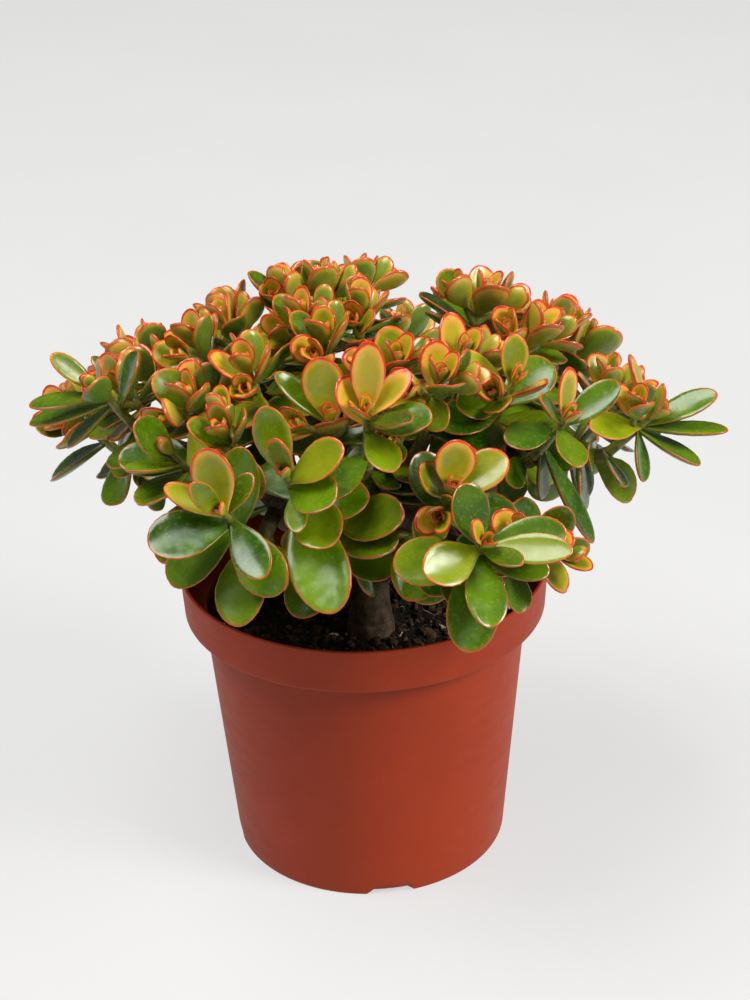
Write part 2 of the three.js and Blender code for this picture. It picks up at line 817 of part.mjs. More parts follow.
// A leaf as a faceted lens: its outline with one ridge point above and one below. Long leaves have six
// outline points and short ones four.
class LeafGeometry extends THREE.BufferGeometry {
  constructor(leaf) {
    super();
    const long = [[0, 0], [0.34, 1], [0.8, 1], [1, 0], [0.8, -1], [0.34, -1]];
    const short = [[0, 0], [0.62, 1], [1, 0], [0.62, -1]];
    const outline = leaf.length > LONG_LEAF ? long : short;
    const ridge = leafPoint(leaf, 0.56, 0);
    const points = outline.map(([u, v]) => leafPoint(leaf, u, v));
    points.push(ridge.clone().addScaledVector(leaf.face, leaf.thickness / 2));
    points.push(ridge.clone().addScaledVector(leaf.face, -leaf.thickness / 2));
    const index = [];
    for (let i = 0; i < outline.length; i++) {
      const next = (i + 1) % outline.length;
      index.push(next, i, outline.length, i, next, outline.length + 1);
    }
    this.setAttribute("position", new THREE.Float32BufferAttribute(points.flatMap((p) => [...p]), 3));
    this.setIndex(index);
  }
}

function tipSolids(tip) {
  const radius = tip.share < 1 ? SIDE_STEM * STEM_RADIUS : STEM_RADIUS;
  const stem = new THREE.CylinderGeometry(STEM_TIP_RADIUS, radius, tip.length, 3);
  stem.rotateY(THREE.MathUtils.degToRad(-tip.turn));
  stem.translate(0, -tip.length / 2, 0);
  const behind = tip.ahead.clone().negate();
  stem.applyMatrix4(new THREE.Matrix4().makeBasis(tip.across, tip.axis, behind).setPosition(tip.heart));
  return [solidOf(stem), ...tip.leaves.map((leaf) => solidOf(new LeafGeometry(leaf)))];
}

function shootSolid(shoot) {
  return union(tips.filter((tip) => tip.shoot === shoot.number).flatMap(tipSolids));
}

// ---------------------------------------------------------------- the plant in its pot

const root = new THREE.Group();
root.name = "potted_jade_plant";
root.add(meshOf("pot", potSolid(), "pot"));
root.add(meshOf("soil", soilSolid(), "soil"));
root.add(meshOf("trunk", union([woodSolid("trunk"), solidOf(rootStump(0))]), "bark"));
for (const spray of sprays) {
  root.add(meshOf(spray.name, woodSolid(spray.name), "bark"));
}
for (const shoot of shoots) {
  root.add(meshOf("shoot_" + String(shoot.number + 1).padStart(2, "0"), shootSolid(shoot), "leaf"));
}

export default root;
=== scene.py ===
"""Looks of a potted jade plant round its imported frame: a moulded nursery pot, crumbly potting soil, a
forked trunk with ringed bark, and leafy shoots of fleshy leaves with red margins.

Lengths are millimetres in the frame's axes until a surface is put into a mesh, which is in metres.
The plant grows here by the same rules as in the frame's own source, so each leaf lies where its
solid lies. Added to it are the smallest leaves at the growing points, the old leaves low on the
twigs, and the crumbs, chips and fibres on the soil."""
import math

import bpy
import numpy as np
from mathutils import Matrix


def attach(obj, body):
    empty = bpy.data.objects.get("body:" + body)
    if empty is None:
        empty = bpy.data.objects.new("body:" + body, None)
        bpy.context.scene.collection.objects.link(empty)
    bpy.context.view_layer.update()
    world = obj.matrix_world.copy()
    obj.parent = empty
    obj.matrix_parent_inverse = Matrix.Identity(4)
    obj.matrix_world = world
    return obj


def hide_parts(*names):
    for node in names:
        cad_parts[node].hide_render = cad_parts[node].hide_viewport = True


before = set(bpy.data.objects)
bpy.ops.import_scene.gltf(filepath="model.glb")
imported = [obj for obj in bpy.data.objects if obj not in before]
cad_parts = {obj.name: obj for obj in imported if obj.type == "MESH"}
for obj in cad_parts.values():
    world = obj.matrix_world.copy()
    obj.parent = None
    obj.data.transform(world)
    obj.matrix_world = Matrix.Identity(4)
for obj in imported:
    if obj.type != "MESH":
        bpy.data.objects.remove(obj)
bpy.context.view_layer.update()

MM = 0.001

# ------------------------------------------------------------------ sizes

POT_HEIGHT = 177.0
RIM_RADIUS = 105.0
RIM_BAND = 26.0
BAND_TAPER = 1.5
SHOULDER_STEP = 10.5
FOOT_RADIUS = 80.0
POT_WALL = 2.0
FLOOR_LIFT = 6.0
FLOOR_THICKNESS = 2.0
FOOT_RING_WIDTH = 6.0
CENTRE_PAD_RADIUS = 24.0
CENTRE_PAD_FLARE = 6.0
NOTCH_COUNT = 4
NOTCH_WIDTH = 28.0
NOTCH_HEIGHT = 4.0
NOTCH_TURN = -83.0
DRAIN_COUNT = 8
DRAIN_RADIUS = 6.0
DRAIN_CIRCLE = 54.0

GAP = 0.3
SOIL_BELOW_SHOULDER = 6.0
SOIL_CROWN = 3.0
ROOT_DEPTH = 28.0

TRUNK_RADIUS = 14.0
TRUNK_FOOT = np.array([3.0, -32.0])
FORK_HEIGHT = 38.0
LIMB_RADIUS = 8.5
BRANCH_RADIUS = 5.6
TWIG_RADIUS = 3.6
KNOB_LENGTH = 9.0
KNOB_SHARE = 0.9
STEM_RADIUS = 3.0
STEM_TIP_RADIUS = 1.6
TRUNK_SHARES = (0.92, 0.78)

LEAF_THICKNESS = 3.6
LEAF_CLEARANCE = 1.1
BACK_RING_REACH = (158.0, 142.0)
BACK_RING_HEIGHT = 100.0

SHOULDER_HEIGHT = POT_HEIGHT - RIM_BAND
SOIL_TOP = SHOULDER_HEIGHT + POT_WALL - SOIL_BELOW_SHOULDER
BAND_FOOT = RIM_RADIUS - BAND_TAPER
BODY_TOP = BAND_FOOT - SHOULDER_STEP
BODY_INSIDE = BODY_TOP - POT_WALL
FOOT_INSIDE = FOOT_RADIUS - POT_WALL
FLOOR_TOP = FLOOR_LIFT + FLOOR_THICKNESS

UP = np.array([0.0, 0.0, 1.0])
ALONG_X = np.array([1.0, 0.0, 0.0])
TRUNK_TOP = np.array([TRUNK_FOOT[0] - 1, TRUNK_FOOT[1] + 5, SOIL_TOP + FORK_HEIGHT])

# ------------------------------------------------------------------ small tools


def chance(a, b):
    """A repeatable number from 0 to 1 for two whole numbers: the fraction left by a steep sine."""
    wave = np.sin(12.9898 * (a + 1.0) + 78.233 * (b + 1.0)) * 43758.5453
    return wave - np.floor(wave)


def unit(v):
    return v / np.linalg.norm(v, axis=-1, keepdims=True)


def raised(place):
    """A place given as x, y and height above the rim."""
    return np.array([place[0], place[1], POT_HEIGHT + place[2]], float)


def smoothstep(low, high, x):
    share = np.clip((x - low) / (high - low), 0.0, 1.0)
    return share * share * (3.0 - 2.0 * share)


def put_object(name, data):
    """A new object in the scene for a mesh, a light or a camera."""
    made = bpy.data.objects.new(name, data)
    bpy.context.collection.objects.link(made)
    return made


def standing(right, up, back, place):
    """The matrix of an object at a place, with its x, y and z along three directions."""
    return Matrix([[right[i], up[i], back[i], place[i]] for i in range(3)] + [[0, 0, 0, 1]])


def worked_mesh(piece):
    """The mesh that a piece's modifiers make."""
    bpy.context.view_layer.update()
    return bpy.data.meshes.new_from_object(piece.evaluated_get(bpy.context.evaluated_depsgraph_get()))


def put_mesh(name, points, faces, smooth=True):
    """A mesh object of points in millimetres and a list of face arrays (triangles or quads)."""
    mesh = bpy.data.meshes.new(name)
    loops = np.concatenate([f.ravel() for f in faces]).astype(np.int32)
    sizes = np.concatenate([np.full(len(f), f.shape[1]) for f in faces]).astype(np.int32)
    starts = np.concatenate([[0], np.cumsum(sizes)[:-1]]).astype(np.int32)
    mesh.vertices.add(len(points))
    mesh.vertices.foreach_set("co", (np.asarray(points) * MM).astype(np.float32).ravel())
    mesh.loops.add(len(loops))
    mesh.loops.foreach_set("vertex_index", loops)
    mesh.polygons.add(len(sizes))
    mesh.polygons.foreach_set("loop_start", starts)
    mesh.polygons.foreach_set("loop_total", sizes)
    mesh.update(calc_edges=True)
    mesh.validate()
    mesh.polygons.foreach_set("use_smooth", np.full(len(mesh.polygons), smooth))
    return put_object(name, mesh)


def put_attribute(piece, name, values):
    """One number for each vertex, which a material reads by name."""
    layer = piece.data.attributes.new(name, "FLOAT", "POINT")
    layer.data.foreach_set("value", np.asarray(values, np.float32).ravel())


def grid_faces(rows, columns):
    """Quads of a grid of rows by columns of points, numbered row by row, whose last column joins its
    first. Seen with the rows going up and the columns going counter-clockwise round the outside,
    the faces point outwards."""
    i, j = np.meshgrid(np.arange(rows - 1), np.arange(columns), indexing="ij")
    k = (j + 1) % columns
    quads = np.stack([i * columns + j, i * columns + k, (i + 1) * columns + k, (i + 1) * columns + j], -1)
    return quads.reshape(-1, 4)


def fan_faces(ring_start, columns, pole, inward=False):
    """Triangles from one ring of points to its pole."""
    j = np.arange(columns)
    k = (j + 1) % columns
    fan = np.stack([ring_start + j, ring_start + k, np.full(columns, pole)], -1)
    return fan[:, ::-1] if inward else fan


def closed_faces(rows, columns):
    """Quads of a grid that goes round, and triangles that close it: the first row at the point that
    comes next after the grid, and the last row at the point after that."""
    count = rows * columns
    fans = np.concatenate([
        fan_faces(0, columns, count, inward=True),
        fan_faces(count - columns, columns, count + 1),
    ])
    return grid_faces(rows, columns), fans


# ------------------------------------------------------------------ how the plant grows

# Shoots on the plant's front and top. `at` is the growing point as x, y and height above the rim, and
# `turn` the turn of the youngest leaf pair in degrees. `pairs` are the leaf pairs that grow on it, from
# 0 for the youngest, and all five where it isn't given. `sides` is how many side tips fork from it: two
# where it isn't given, or none if the shoot has leaves of its own. Each of its own `leaves` is how far
# below the growing point it starts, its tip as x, y and height above the rim, and its width.
FRONT_SHOOTS = [
    dict(at=(-137, -45, 130), turn=20, pairs=(0, 1, 2), leaves=(
        (3, -160, -40, 146, 11), (3, -152, -34, 146, 12), (6, -171, -50, 120, 15),
        (12, -173, -40, 106, 14), (14, -154, -40, 93, 14),
    )),
    dict(at=(-130, -8, 115), turn=70, sides=2, leaves=(
        (26, -132, -18, 66, 12),
    )),
    dict(at=(-120, 28, 110), turn=10),
    dict(at=(-87, -60, 129), turn=40),
    dict(at=(-68, -98, 126), turn=75),
    dict(at=(-82, -28, 118), turn=15),
    dict(at=(-88, 10, 131), turn=60),
    dict(at=(-57, -58, 144), turn=80),
    dict(at=(-73, 36, 132), turn=30),
    dict(at=(-41, 54, 143), turn=70),
    dict(at=(-97, -88, 112), turn=35, leaves=(
        (8, -114, -96, 131, 20), (12, -116, -104, 115, 14), (14, -123, -88, 102, 20),
    )),
    dict(at=(-68, -140, 103), turn=60, pairs=(3, 4), leaves=(
        (3, -73, -132, 134, 20), (3, -83, -153, 125, 11), (7, -95, -142, 122, 13),
        (5, -55, -134, 120, 11), (14, -104, -142, 85, 25), (13, -86, -152, 79, 20),
        (20, -96, -130, 60, 24), (12, -47, -158, 76, 18), (20, -51, -147, 56, 23),
        (24, -56, -116, 126, 21),
    )),
    dict(at=(-37, -128, 116), turn=30, pairs=(0, 3, 4), leaves=(
        (4, -47, -121, 150, 17), (2, -39, -139, 142, 13), (2, -26, -118, 142, 15),
        (7, -7, -132, 131, 20), (12, -13, -147, 108, 22), (18, -31, -140, 90, 11),
        (28, -15, -152, 51, 28),
    )),
    dict(at=(-15, -86, 127), turn=10, sides=2, leaves=(
        (3, -20, -80, 158, 20), (5, -37, -86, 159, 14), (8, -8, -98, 141, 12),
    )),
    dict(at=(4, -116, 143), turn=45, pairs=(0, 1, 3, 4), leaves=(
        (3, 5, -108, 177, 16), (4, 23, -110, 162, 13), (5, -7, -118, 167, 11), (9, 35, -126, 140, 20),
        (7, 29, -137, 149, 14), (16, 16, -134, 118, 16), (18, 31, -122, 126, 20),
    )),
    dict(at=(19, -62, 146), turn=15),
    dict(at=(2, 8, 149), turn=80),
    dict(at=(-21, 42, 151), turn=20),
    dict(at=(-30, -4, 149), turn=45),
    dict(at=(-18, -38, 151), turn=70),
    dict(at=(54, -50, 145), turn=35),
    dict(at=(69, 12, 152), turn=10),
    dict(at=(86, 46, 130), turn=60),
    dict(at=(96, -4, 138), turn=25),
    dict(at=(112, 28, 130), turn=80),
    dict(at=(80, -68, 136), turn=50, sides=1, leaves=(
        (4, 79, -58, 158, 16), (12, 70, -80, 133, 22), (16, 41, -84, 117, 22), (8, 46, -72, 143, 15),
    )),
    dict(at=(40, -92, 149), turn=20),
    dict(at=(104, -90, 124), turn=40, pairs=(0,), leaves=(
        (2, 104, -84, 150, 12), (6, 131, -82, 140, 15), (4, 89, -94, 138, 10), (11, 73, -92, 113, 17),
        (8, 108, -106, 104, 17), (10, 126, -100, 100, 15), (24, 117, -84, 50, 13),
        (26, 85, -78, 72, 14),
    )),
    dict(at=(157, -36, 100), turn=15, pairs=(0,), sides=1, leaves=(
        (3, 133, -38, 130, 12), (3, 146, -30, 124, 11), (3, 154, -44, 121, 11), (5, 172, -36, 122, 12),
        (8, 191, -32, 109, 15), (10, 196, -38, 89, 12), (12, 180, -44, 72, 16), (12, 149, -50, 68, 13),
        (10, 121, -48, 98, 18),
    )),
    dict(at=(59, -150, 86), turn=30, pairs=(), leaves=(
        (4, 46, -142, 114, 20), (1, 51, -160, 104, 9), (4, 66, -138, 113, 12), (6, 74, -150, 115, 15),
        (12, 99, -140, 86, 20), (8, 101, -155, 84, 15), (16, 90, -146, 66, 15), (6, 76, -168, 83, 11),
        (9, 29, -163, 76, 21), (14, 15, -146, 71, 23), (18, 50, -160, 32, 25), (14, 60, -171, 51, 20),
    )),
    dict(at=(45, -118, 101), turn=75, sides=1, leaves=(
        (3, 47, -112, 125, 20), (6, 71, -112, 116, 19),
    )),
    dict(at=(21, -86, 124), turn=55, pairs=(0, 1, 2, 3)),
    dict(at=(91, -124, 71), turn=10, pairs=(0, 1)),
    dict(at=(-16, -98, 76), turn=45, pairs=(0, 1, 3, 4), sides=1, leaves=(
        (4, 22, -122, 86, 25), (9, 17, -128, 72, 25),
    )),
]

# How much a shoot leans out with its distance from the upright axis, and the bare stem below its leaves.
LEAN = 0.8
STEM_BELOW_LEAVES = 5.0
# The crossed leaf pairs from the youngest down: start below the growing point, length, incline from the
# stem in degrees, bend as a share of the length, and youth from 1 for the youngest to 0.
ALL_PAIRS = (0, 1, 2, 3, 4)
PAIR_BELOW = (4.0, 10.5, 18.5, 28.0, 38.0)
PAIR_LENGTH = (21.0, 28.0, 34.0, 39.0, 43.0)
PAIR_INCLINE = (22.0, 40.0, 60.0, 78.0, 96.0)
PAIR_BEND = (0.05, 0.1, 0.06, 0.02, -0.02)
PAIR_YOUTH = (0.85, 0.6, 0.3, 0.08, 0.0)
LOWEST_CHOSEN_PAIR = 3
CHOSEN_BEND = 0.06
LEAF_CUP = 0.2
WIDEST = 0.6
LEAF_NECK = 0.2
LEAF_ROOT = 0.2 * STEM_RADIUS


def back_shoots():
    """Behind, the shoots stand evenly along one outer ring and one inner ring of the same dome."""
    rings = (
        dict(count=8, start=6, end=174, share=1.0, height=BACK_RING_HEIGHT - 8),
        dict(count=3, start=42, end=138, share=0.62, height=BACK_RING_HEIGHT + 30),
    )
    shoots = []
    for ring in rings:
        for i in range(ring["count"]):
            angle = math.radians(ring["start"] + (ring["end"] - ring["start"]) * i / (ring["count"] - 1))
            reach = ring["share"] * (0.94 + 0.12 * chance(i, 40))
            x = math.floor(BACK_RING_REACH[0] * reach * math.cos(angle) + 0.5)
            y = math.floor(BACK_RING_REACH[1] * reach * math.sin(angle) + 0.5)
            height = math.floor(ring["height"] + 16 * (chance(i, 41) - 0.5) + 0.5)
            shoots.append(dict(at=(x, y, height), turn=90 * chance(i, 42)))
    return shoots


class Tip:
    """A leafy stem tip of one shoot: its growing point, the stem's axis, two directions across it, and
    its foot. Its own axis runs from the foot to the growing point."""

    def __init__(self, number, shoot, heart, axis, stem_length, turn, pairs, share=1.0, leaves=()):
        self.number = number
        self.shoot = shoot
        self.heart = heart
        self.axis = axis
        self.across = unit(np.cross(axis, [0.0, 1.0, 0.0]))
        self.ahead = np.cross(axis, self.across)
        self.stem_length = stem_length
        self.foot = heart - axis * stem_length
        self.turn = turn
        self.pairs = pairs
        self.share = share
        self.chosen = leaves

    def out(self, degrees):
        """The direction square to the stem at a turn round it."""
        angle = math.radians(degrees)
        return self.across * math.cos(angle) + self.ahead * math.sin(angle)


# Side tips fork this far below the growing point, at this incline in degrees, on a stem of this length.
# Their leaves are a share of the main tip's, and so is the thickness of their stem.
SIDE_BELOW = 16.0
SIDE_INCLINE = 44.0
SIDE_LENGTH = 19.0
SIDE_SHARE = 0.84
SIDE_PAIRS = (0, 1, 2)
SIDE_STEM = 0.75


def shoot_tips(number, at, turn, pairs=ALL_PAIRS, leaves=(), sides=None):
    """A shoot's main tip and its side tips."""
    heart = raised(at)
    axis = unit(heart * [LEAN, LEAN, 1.0] - [0.0, 0.0, SHOULDER_HEIGHT])
    length = PAIR_BELOW[max(LOWEST_CHOSEN_PAIR, *pairs, 0)] + STEM_BELOW_LEAVES
    tip = Tip(number, number, heart, axis, length, turn, pairs, 1.0, leaves)
    if sides is None:
        sides = 0 if leaves else 2
    return tip, side_tips(tip, sides)


def side_tips(tip, sides):
    """Side tips fork from a shoot's stem in the plane of its youngest leaves, at equal turns."""
    tips = []
    for k in range(sides):
        lean = math.radians(SIDE_INCLINE + 10 * (chance(tip.number, 50 + k) - 0.5))
        turn = tip.turn + 360.0 * k / sides + 20 * (chance(tip.number, 60 + k) - 0.5)
        axis = tip.axis * math.cos(lean) + tip.out(turn) * math.sin(lean)
        length = SIDE_LENGTH * (0.9 + 0.25 * chance(tip.number, 70 + k))
        heart = tip.heart - tip.axis * SIDE_BELOW + axis * length
        number = 100 + 4 * tip.number + k
        turn = 90 * chance(number, 80)
        tips.append(Tip(number, tip.number, heart, axis, length, turn, SIDE_PAIRS, SIDE_SHARE))
    return tips


GROWN = [shoot_tips(number, **facts) for number, facts in enumerate(FRONT_SHOOTS + back_shoots())]
SHOOTS = [tip for tip, _ in GROWN]
TIPS = SHOOTS + [side for _, sides in GROWN for side in sides]

# The main limbs' ends, and the knuckles at the ends of their branches with the limb that bears each,
# as x, y and height above the rim.
LIMBS = {
    "left": (-30, -30, 34),
    "right": (32, -28, 34),
    "back": (0, 16, 36),
}
KNUCKLES = {
    "far_left": ("left", -82, -14, 66),
    "left": ("left", -62, -46, 76),
    "front_left": ("left", -42, -82, 72),
    "top_left": ("left", -46, 6, 88),
    "front": ("right", 12, -58, 58),
    "front_right": ("right", 50, -92, 52),
    "right": ("right", 76, -48, 80),
    "far_right": ("right", 104, -16, 68),
    "top": ("back", 2, -20, 96),
    "top_right": ("back", 60, 12, 88),
    "back_left": ("back", -46, 64, 76),
    "back_right": ("back", 50, 66, 74),
}


def toward(start, end, lift):
    """The direction from one point to another, lifted a little."""
    return unit(unit(end - start) + lift * UP)


class Limb:
    """A round piece of wood along a cubic curve that leaves its start one way and comes in to its
    end another way, with a radius that runs evenly from end to end."""

    STEPS = 200

    def __init__(self, owner, start, leaving, end, arriving, start_radius, end_radius):
        reach = 0.4 * np.linalg.norm(end - start)
        self.owner = owner
        self.radii = (start_radius, end_radius)
        self.knots = (start, start + leaving * reach, end - arriving * reach, end)
        self.times = np.linspace(0.0, 1.0, self.STEPS + 1)
        run = self.at_time(self.times)
        self.lengths = np.concatenate([[0.0], np.cumsum(np.linalg.norm(np.diff(run, axis=0), axis=1))])
        self.length = self.lengths[-1]

    def at_time(self, t):
        t = np.asarray(t)[:, None]
        a, b, c, d = self.knots
        return (1 - t) ** 3 * a + 3 * (1 - t) ** 2 * t * b + 3 * (1 - t) * t**2 * c + t**3 * d

    def at(self, share):
        """Points at shares of the curve's length."""
        return self.at_time(np.interp(np.asarray(share) * self.length, self.lengths, self.times))

    def radius(self, share):
        return self.radii[0] + (self.radii[1] - self.radii[0]) * np.asarray(share)


def grow_wood():
    """Trunk, main limbs, branches to the knuckles, and twigs to each shoot from its nearest knuckle."""
    limbs = []
    sprays = []
    foot = np.array([TRUNK_FOOT[0], TRUNK_FOOT[1], SOIL_TOP])
    low_radius, high_radius = (share * TRUNK_RADIUS for share in TRUNK_SHARES)
    limbs.append(Limb("trunk", foot, UP, TRUNK_TOP, UP, low_radius, high_radius))
    for limb_name, place in LIMBS.items():
        end = raised(place)
        start = TRUNK_TOP - 0.5 * TRUNK_RADIUS * UP
        way = toward(start, end, 0.3)
        limbs.append(Limb("trunk", start, way, end, way, 1.2 * LIMB_RADIUS, LIMB_RADIUS))
        branches = [(name, at) for name, (parent, *at) in KNUCKLES.items() if parent == limb_name]
        for i, (name, at) in enumerate(branches):
            knuckle = raised(at)
            arriving = toward(end, knuckle, 0.35)
            begin = end - way * LIMB_RADIUS * (0.4 + 0.25 * i)
            limbs.append(Limb("trunk", begin, way, knuckle, arriving, 0.8 * LIMB_RADIUS, BRANCH_RADIUS))
            sprays.append(dict(name="stems_" + name, knuckle=knuckle, way=arriving, count=0))
    for spray in sprays:
        way = spray["way"]
        start = spray["knuckle"] + way * GAP
        end = start + way * KNOB_LENGTH
        limbs.append(Limb(spray["name"], start, way, end, way, BRANCH_RADIUS, KNOB_SHARE * BRANCH_RADIUS))
    for shoot in SHOOTS:
        spray = min(sprays, key=lambda s: np.linalg.norm(s["knuckle"] - shoot.foot))
        depth = KNOB_LENGTH * (0.25 + 0.12 * spray["count"])
        spray["count"] += 1
        way = spray["way"]
        start = spray["knuckle"] + way * (GAP + depth)
        end = shoot.foot - shoot.axis * GAP
        limbs.append(Limb(spray["name"], start, way, end, shoot.axis, 0.8 * BRANCH_RADIUS, TWIG_RADIUS))
    return limbs


WOOD = grow_wood()
WOOD_STEP = 4.0
NO_TIP = -1


def wood_points():
    """The wood as a run of points, each with a radius and the number of the tip whose stem it is on."""
    points, radii, owners = [], [], []
    for limb in WOOD:
        count = math.ceil(limb.length / WOOD_STEP)
        share = np.arange(count + 1) / count
        points.append(limb.at(share))
        radii.append(limb.radius(share))
        owners.append(np.full(count + 1, NO_TIP))
    for tip in TIPS:
        count = math.ceil(tip.stem_length / WOOD_STEP)
        share = np.arange(count + 1) / count
        points.append(tip.heart - tip.axis * (tip.stem_length * share)[:, None])
        radii.append(np.full(count + 1, STEM_RADIUS))
        owners.append(np.full(count + 1, tip.number))
    return np.concatenate(points), np.concatenate(radii), np.concatenate(owners)


WOOD_POINTS, WOOD_RADII, WOOD_OWNERS = wood_points()


def half_width(width, u):
    """Half a leaf's width at a share u of its length: a narrow neck that swells as a sine up to the
    widest place, and a quarter of an ellipse from there to the tip."""
    swell = np.sin(math.pi / 2 * np.clip(u, 0.0, WIDEST) / WIDEST) ** 1.3
    blade = LEAF_NECK + (1 - LEAF_NECK) * swell
    tip = np.sqrt(np.clip(1 - ((u - WIDEST) / (1 - WIDEST)) ** 2, 0.0, None))
    return width / 2 * np.where(u > WIDEST, tip, blade)


# Places on a leaf where it feels for others: its share u of the length and v of the half width, down the
# middle and along both edges.
FEELERS = np.array(
    [(u, 0.0) for u in (0.3, 0.5, 0.7, 0.87, 1.0)]
    + [(u, v) for v in (1.0, -1.0) for u in (0.3, 0.45, 0.6, 0.75, 0.88, 0.96)]
)


# A feeler's own radius as a share of the leaf's thickness.
FEELER_SHARE = 0.35


class Leaf:
    """A leaf set on a tip by its start below the growing point, its turn round the stem and its
    incline from it in degrees. Its upper face looks back to the stem's axis. Its middle surface is
    foot + along * length * u + side * half width * v + face * (bend * length * u^2 + cup * half
    width * v^2)."""

    def __init__(self, tip, facts, way=(0.0, 0.0, 1.0)):
        turn_by, incline_by, size_by = way
        out = tip.out(facts["turn"] + turn_by)
        lean = math.radians(max(4.0, facts["incline"] + incline_by))
        self.tip = tip.number
        self.shoot = tip.shoot
        self.chosen = facts.get("chosen", False)
        self.bud = facts.get("bud", False)
        self.youth = facts["youth"]
        self.seed = facts["seed"]
        self.foot = tip.heart - tip.axis * facts["below"] + out * LEAF_ROOT
        self.along = tip.axis * math.cos(lean) + out * math.sin(lean)
        self.face = tip.axis * math.sin(lean) - out * math.cos(lean)
        self.side = unit(np.cross(self.face, self.along))
        self.length = facts["length"] * size_by
        self.width = facts["width"] * size_by
        self.bend = facts["bend"]
        self.cup = LEAF_CUP
        self.thickness = LEAF_THICKNESS * math.sqrt(self.length / PAIR_LENGTH[-1])
        self.feelers = self.point(FEELERS[:, 0], FEELERS[:, 1])
        self.middle = self.point(np.array([0.55]), np.array([0.0]))[0]

    def point(self, u, v):
        half = half_width(self.width, u)
        rise = self.bend * self.length * u * u + self.cup * half * v * v
        return (
            self.foot
            + self.along * (self.length * u)[:, None]
            + self.side * (half * v)[:, None]
            + self.face * rise[:, None]
        )


class Foliage:
    """Every leaf placed so far, with its facts stacked into arrays so that a new leaf is tried
    against all of them at once."""

    SHAPES = dict(
        foot=(3,), along=(3,), side=(3,), face=(3,), middle=(3,), feelers=(len(FEELERS), 3),
        length=(), width=(), bend=(), cup=(), thickness=(),
    )

    def __init__(self, capacity=3000):
        self.leaves = []
        self.tips = np.zeros(capacity, int)
        self.chosen = np.zeros(capacity, bool)
        self.stack = {name: np.zeros((capacity, *shape)) for name, shape in self.SHAPES.items()}

    def add(self, leaf):
        place = len(self.leaves)
        self.leaves.append(leaf)
        self.tips[place] = leaf.tip
        self.chosen[place] = leaf.chosen
        for name, values in self.stack.items():
            values[place] = getattr(leaf, name)

    def clear_of(self, leaf):
        """Whether the leaf keeps clear of the leaves of other shoots and of every chosen leaf."""
        count = len(self.leaves)
        if not count:
            return True
        s = {name: values[:count] for name, values in self.stack.items()}
        rivals = (self.tips[:count] != leaf.tip) | (self.chosen[:count] & (not leaf.bud))
        apart = np.linalg.norm(s["middle"] - leaf.middle, axis=1)
        near = np.nonzero(rivals & (apart <= 0.75 * (s["length"] + leaf.length)))[0]
        if not len(near):
            return True
        s = {name: values[near] for name, values in s.items()}
        if touches(s, leaf.feelers[None], FEELER_SHARE * leaf.thickness).any():
            return False
        radii = np.repeat(FEELER_SHARE * s["thickness"], len(FEELERS))
        return not touches(alone(leaf), s["feelers"].reshape(1, -1, 3), radii[None]).any()


def alone(leaf):
    """One leaf's facts, stacked like those of many."""
    return {name: np.asarray(getattr(leaf, name))[None] for name in Foliage.SHAPES}


def touches(s, points, radius):
    """Whether points, with a radius of their own, come within the clearance of leaves' bodies. The
    leaves run down the rows and the points along the columns."""
    offset = points - s["foot"][:, None]
    u = np.einsum("lpx,lx->lp", offset, s["along"]) / s["length"][:, None]
    inside = np.minimum(u, 1.0)
    blade = half_width(s["width"][:, None], inside)
    half = np.maximum(blade, 0.5)
    v = np.abs(np.einsum("lpx,lx->lp", offset, s["side"])) / half
    rise = (s["bend"] * s["length"])[:, None] * inside**2
    rise = rise + s["cup"][:, None] * np.maximum(blade, 0.0) * np.minimum(1, v) ** 2
    height = np.abs(np.einsum("lpx,lx->lp", offset, s["face"]) - rise)
    return (
        (u >= 0.06)
        & (u <= 1 + (LEAF_CLEARANCE + radius) / s["length"][:, None])
        & (v * half <= half + LEAF_CLEARANCE + radius)
        & (height < s["thickness"][:, None] / 2 + radius + LEAF_CLEARANCE)
    )


def meets_wood(leaf):
    """Whether a leaf touches wood, apart from its own stem and the wood right at its foot."""
    near = (
        (WOOD_OWNERS != leaf.tip)
        & (np.linalg.norm(WOOD_POINTS - leaf.middle, axis=1) < leaf.length)
        & (np.linalg.norm(WOOD_POINTS - leaf.foot, axis=1) > WOOD_RADII + STEM_RADIUS + 2)
    )
    if not near.any():
        return False
    return touches(alone(leaf), WOOD_POINTS[near][None], WOOD_RADII[near][None]).any()


def meets_pot(leaf):
    """Whether a leaf touches the pot's rim or the soil."""
    margin = leaf.thickness / 2 + 2 * LEAF_CLEARANCE
    out = np.hypot(leaf.feelers[:, 0], leaf.feelers[:, 1])
    height = leaf.feelers[:, 2]
    near_rim = (height < POT_HEIGHT + margin) & (out > BODY_INSIDE - margin) & (out <= RIM_RADIUS + margin)
    in_soil = (out < RIM_RADIUS) & (height < SOIL_TOP + SOIL_CROWN + margin)
    return (near_rim | in_soil).any()


# Ways a leaf gives way to what stands already: turn round the stem, incline, share of its size.
GIVE_WAY = (
    (0, 0, 1),
    (14, 0, 1),
    (-14, 0, 1),
    (0, -12, 1),
    (0, 12, 1),
    (24, -8, 0.92),
    (-24, -8, 0.92),
    (0, -22, 0.88),
    (0, 22, 0.88),
    (34, -14, 0.8),
    (-34, -14, 0.8),
    (0, -10, 0.65),
)


def place_where_it_fits(foliage, tip, facts):
    """Tries each way in turn. A leaf that fits in none of them is left out."""
    for way in GIVE_WAY:
        leaf = Leaf(tip, facts, way)
        if not meets_pot(leaf) and not meets_wood(leaf) and foliage.clear_of(leaf):
            foliage.add(leaf)
            return


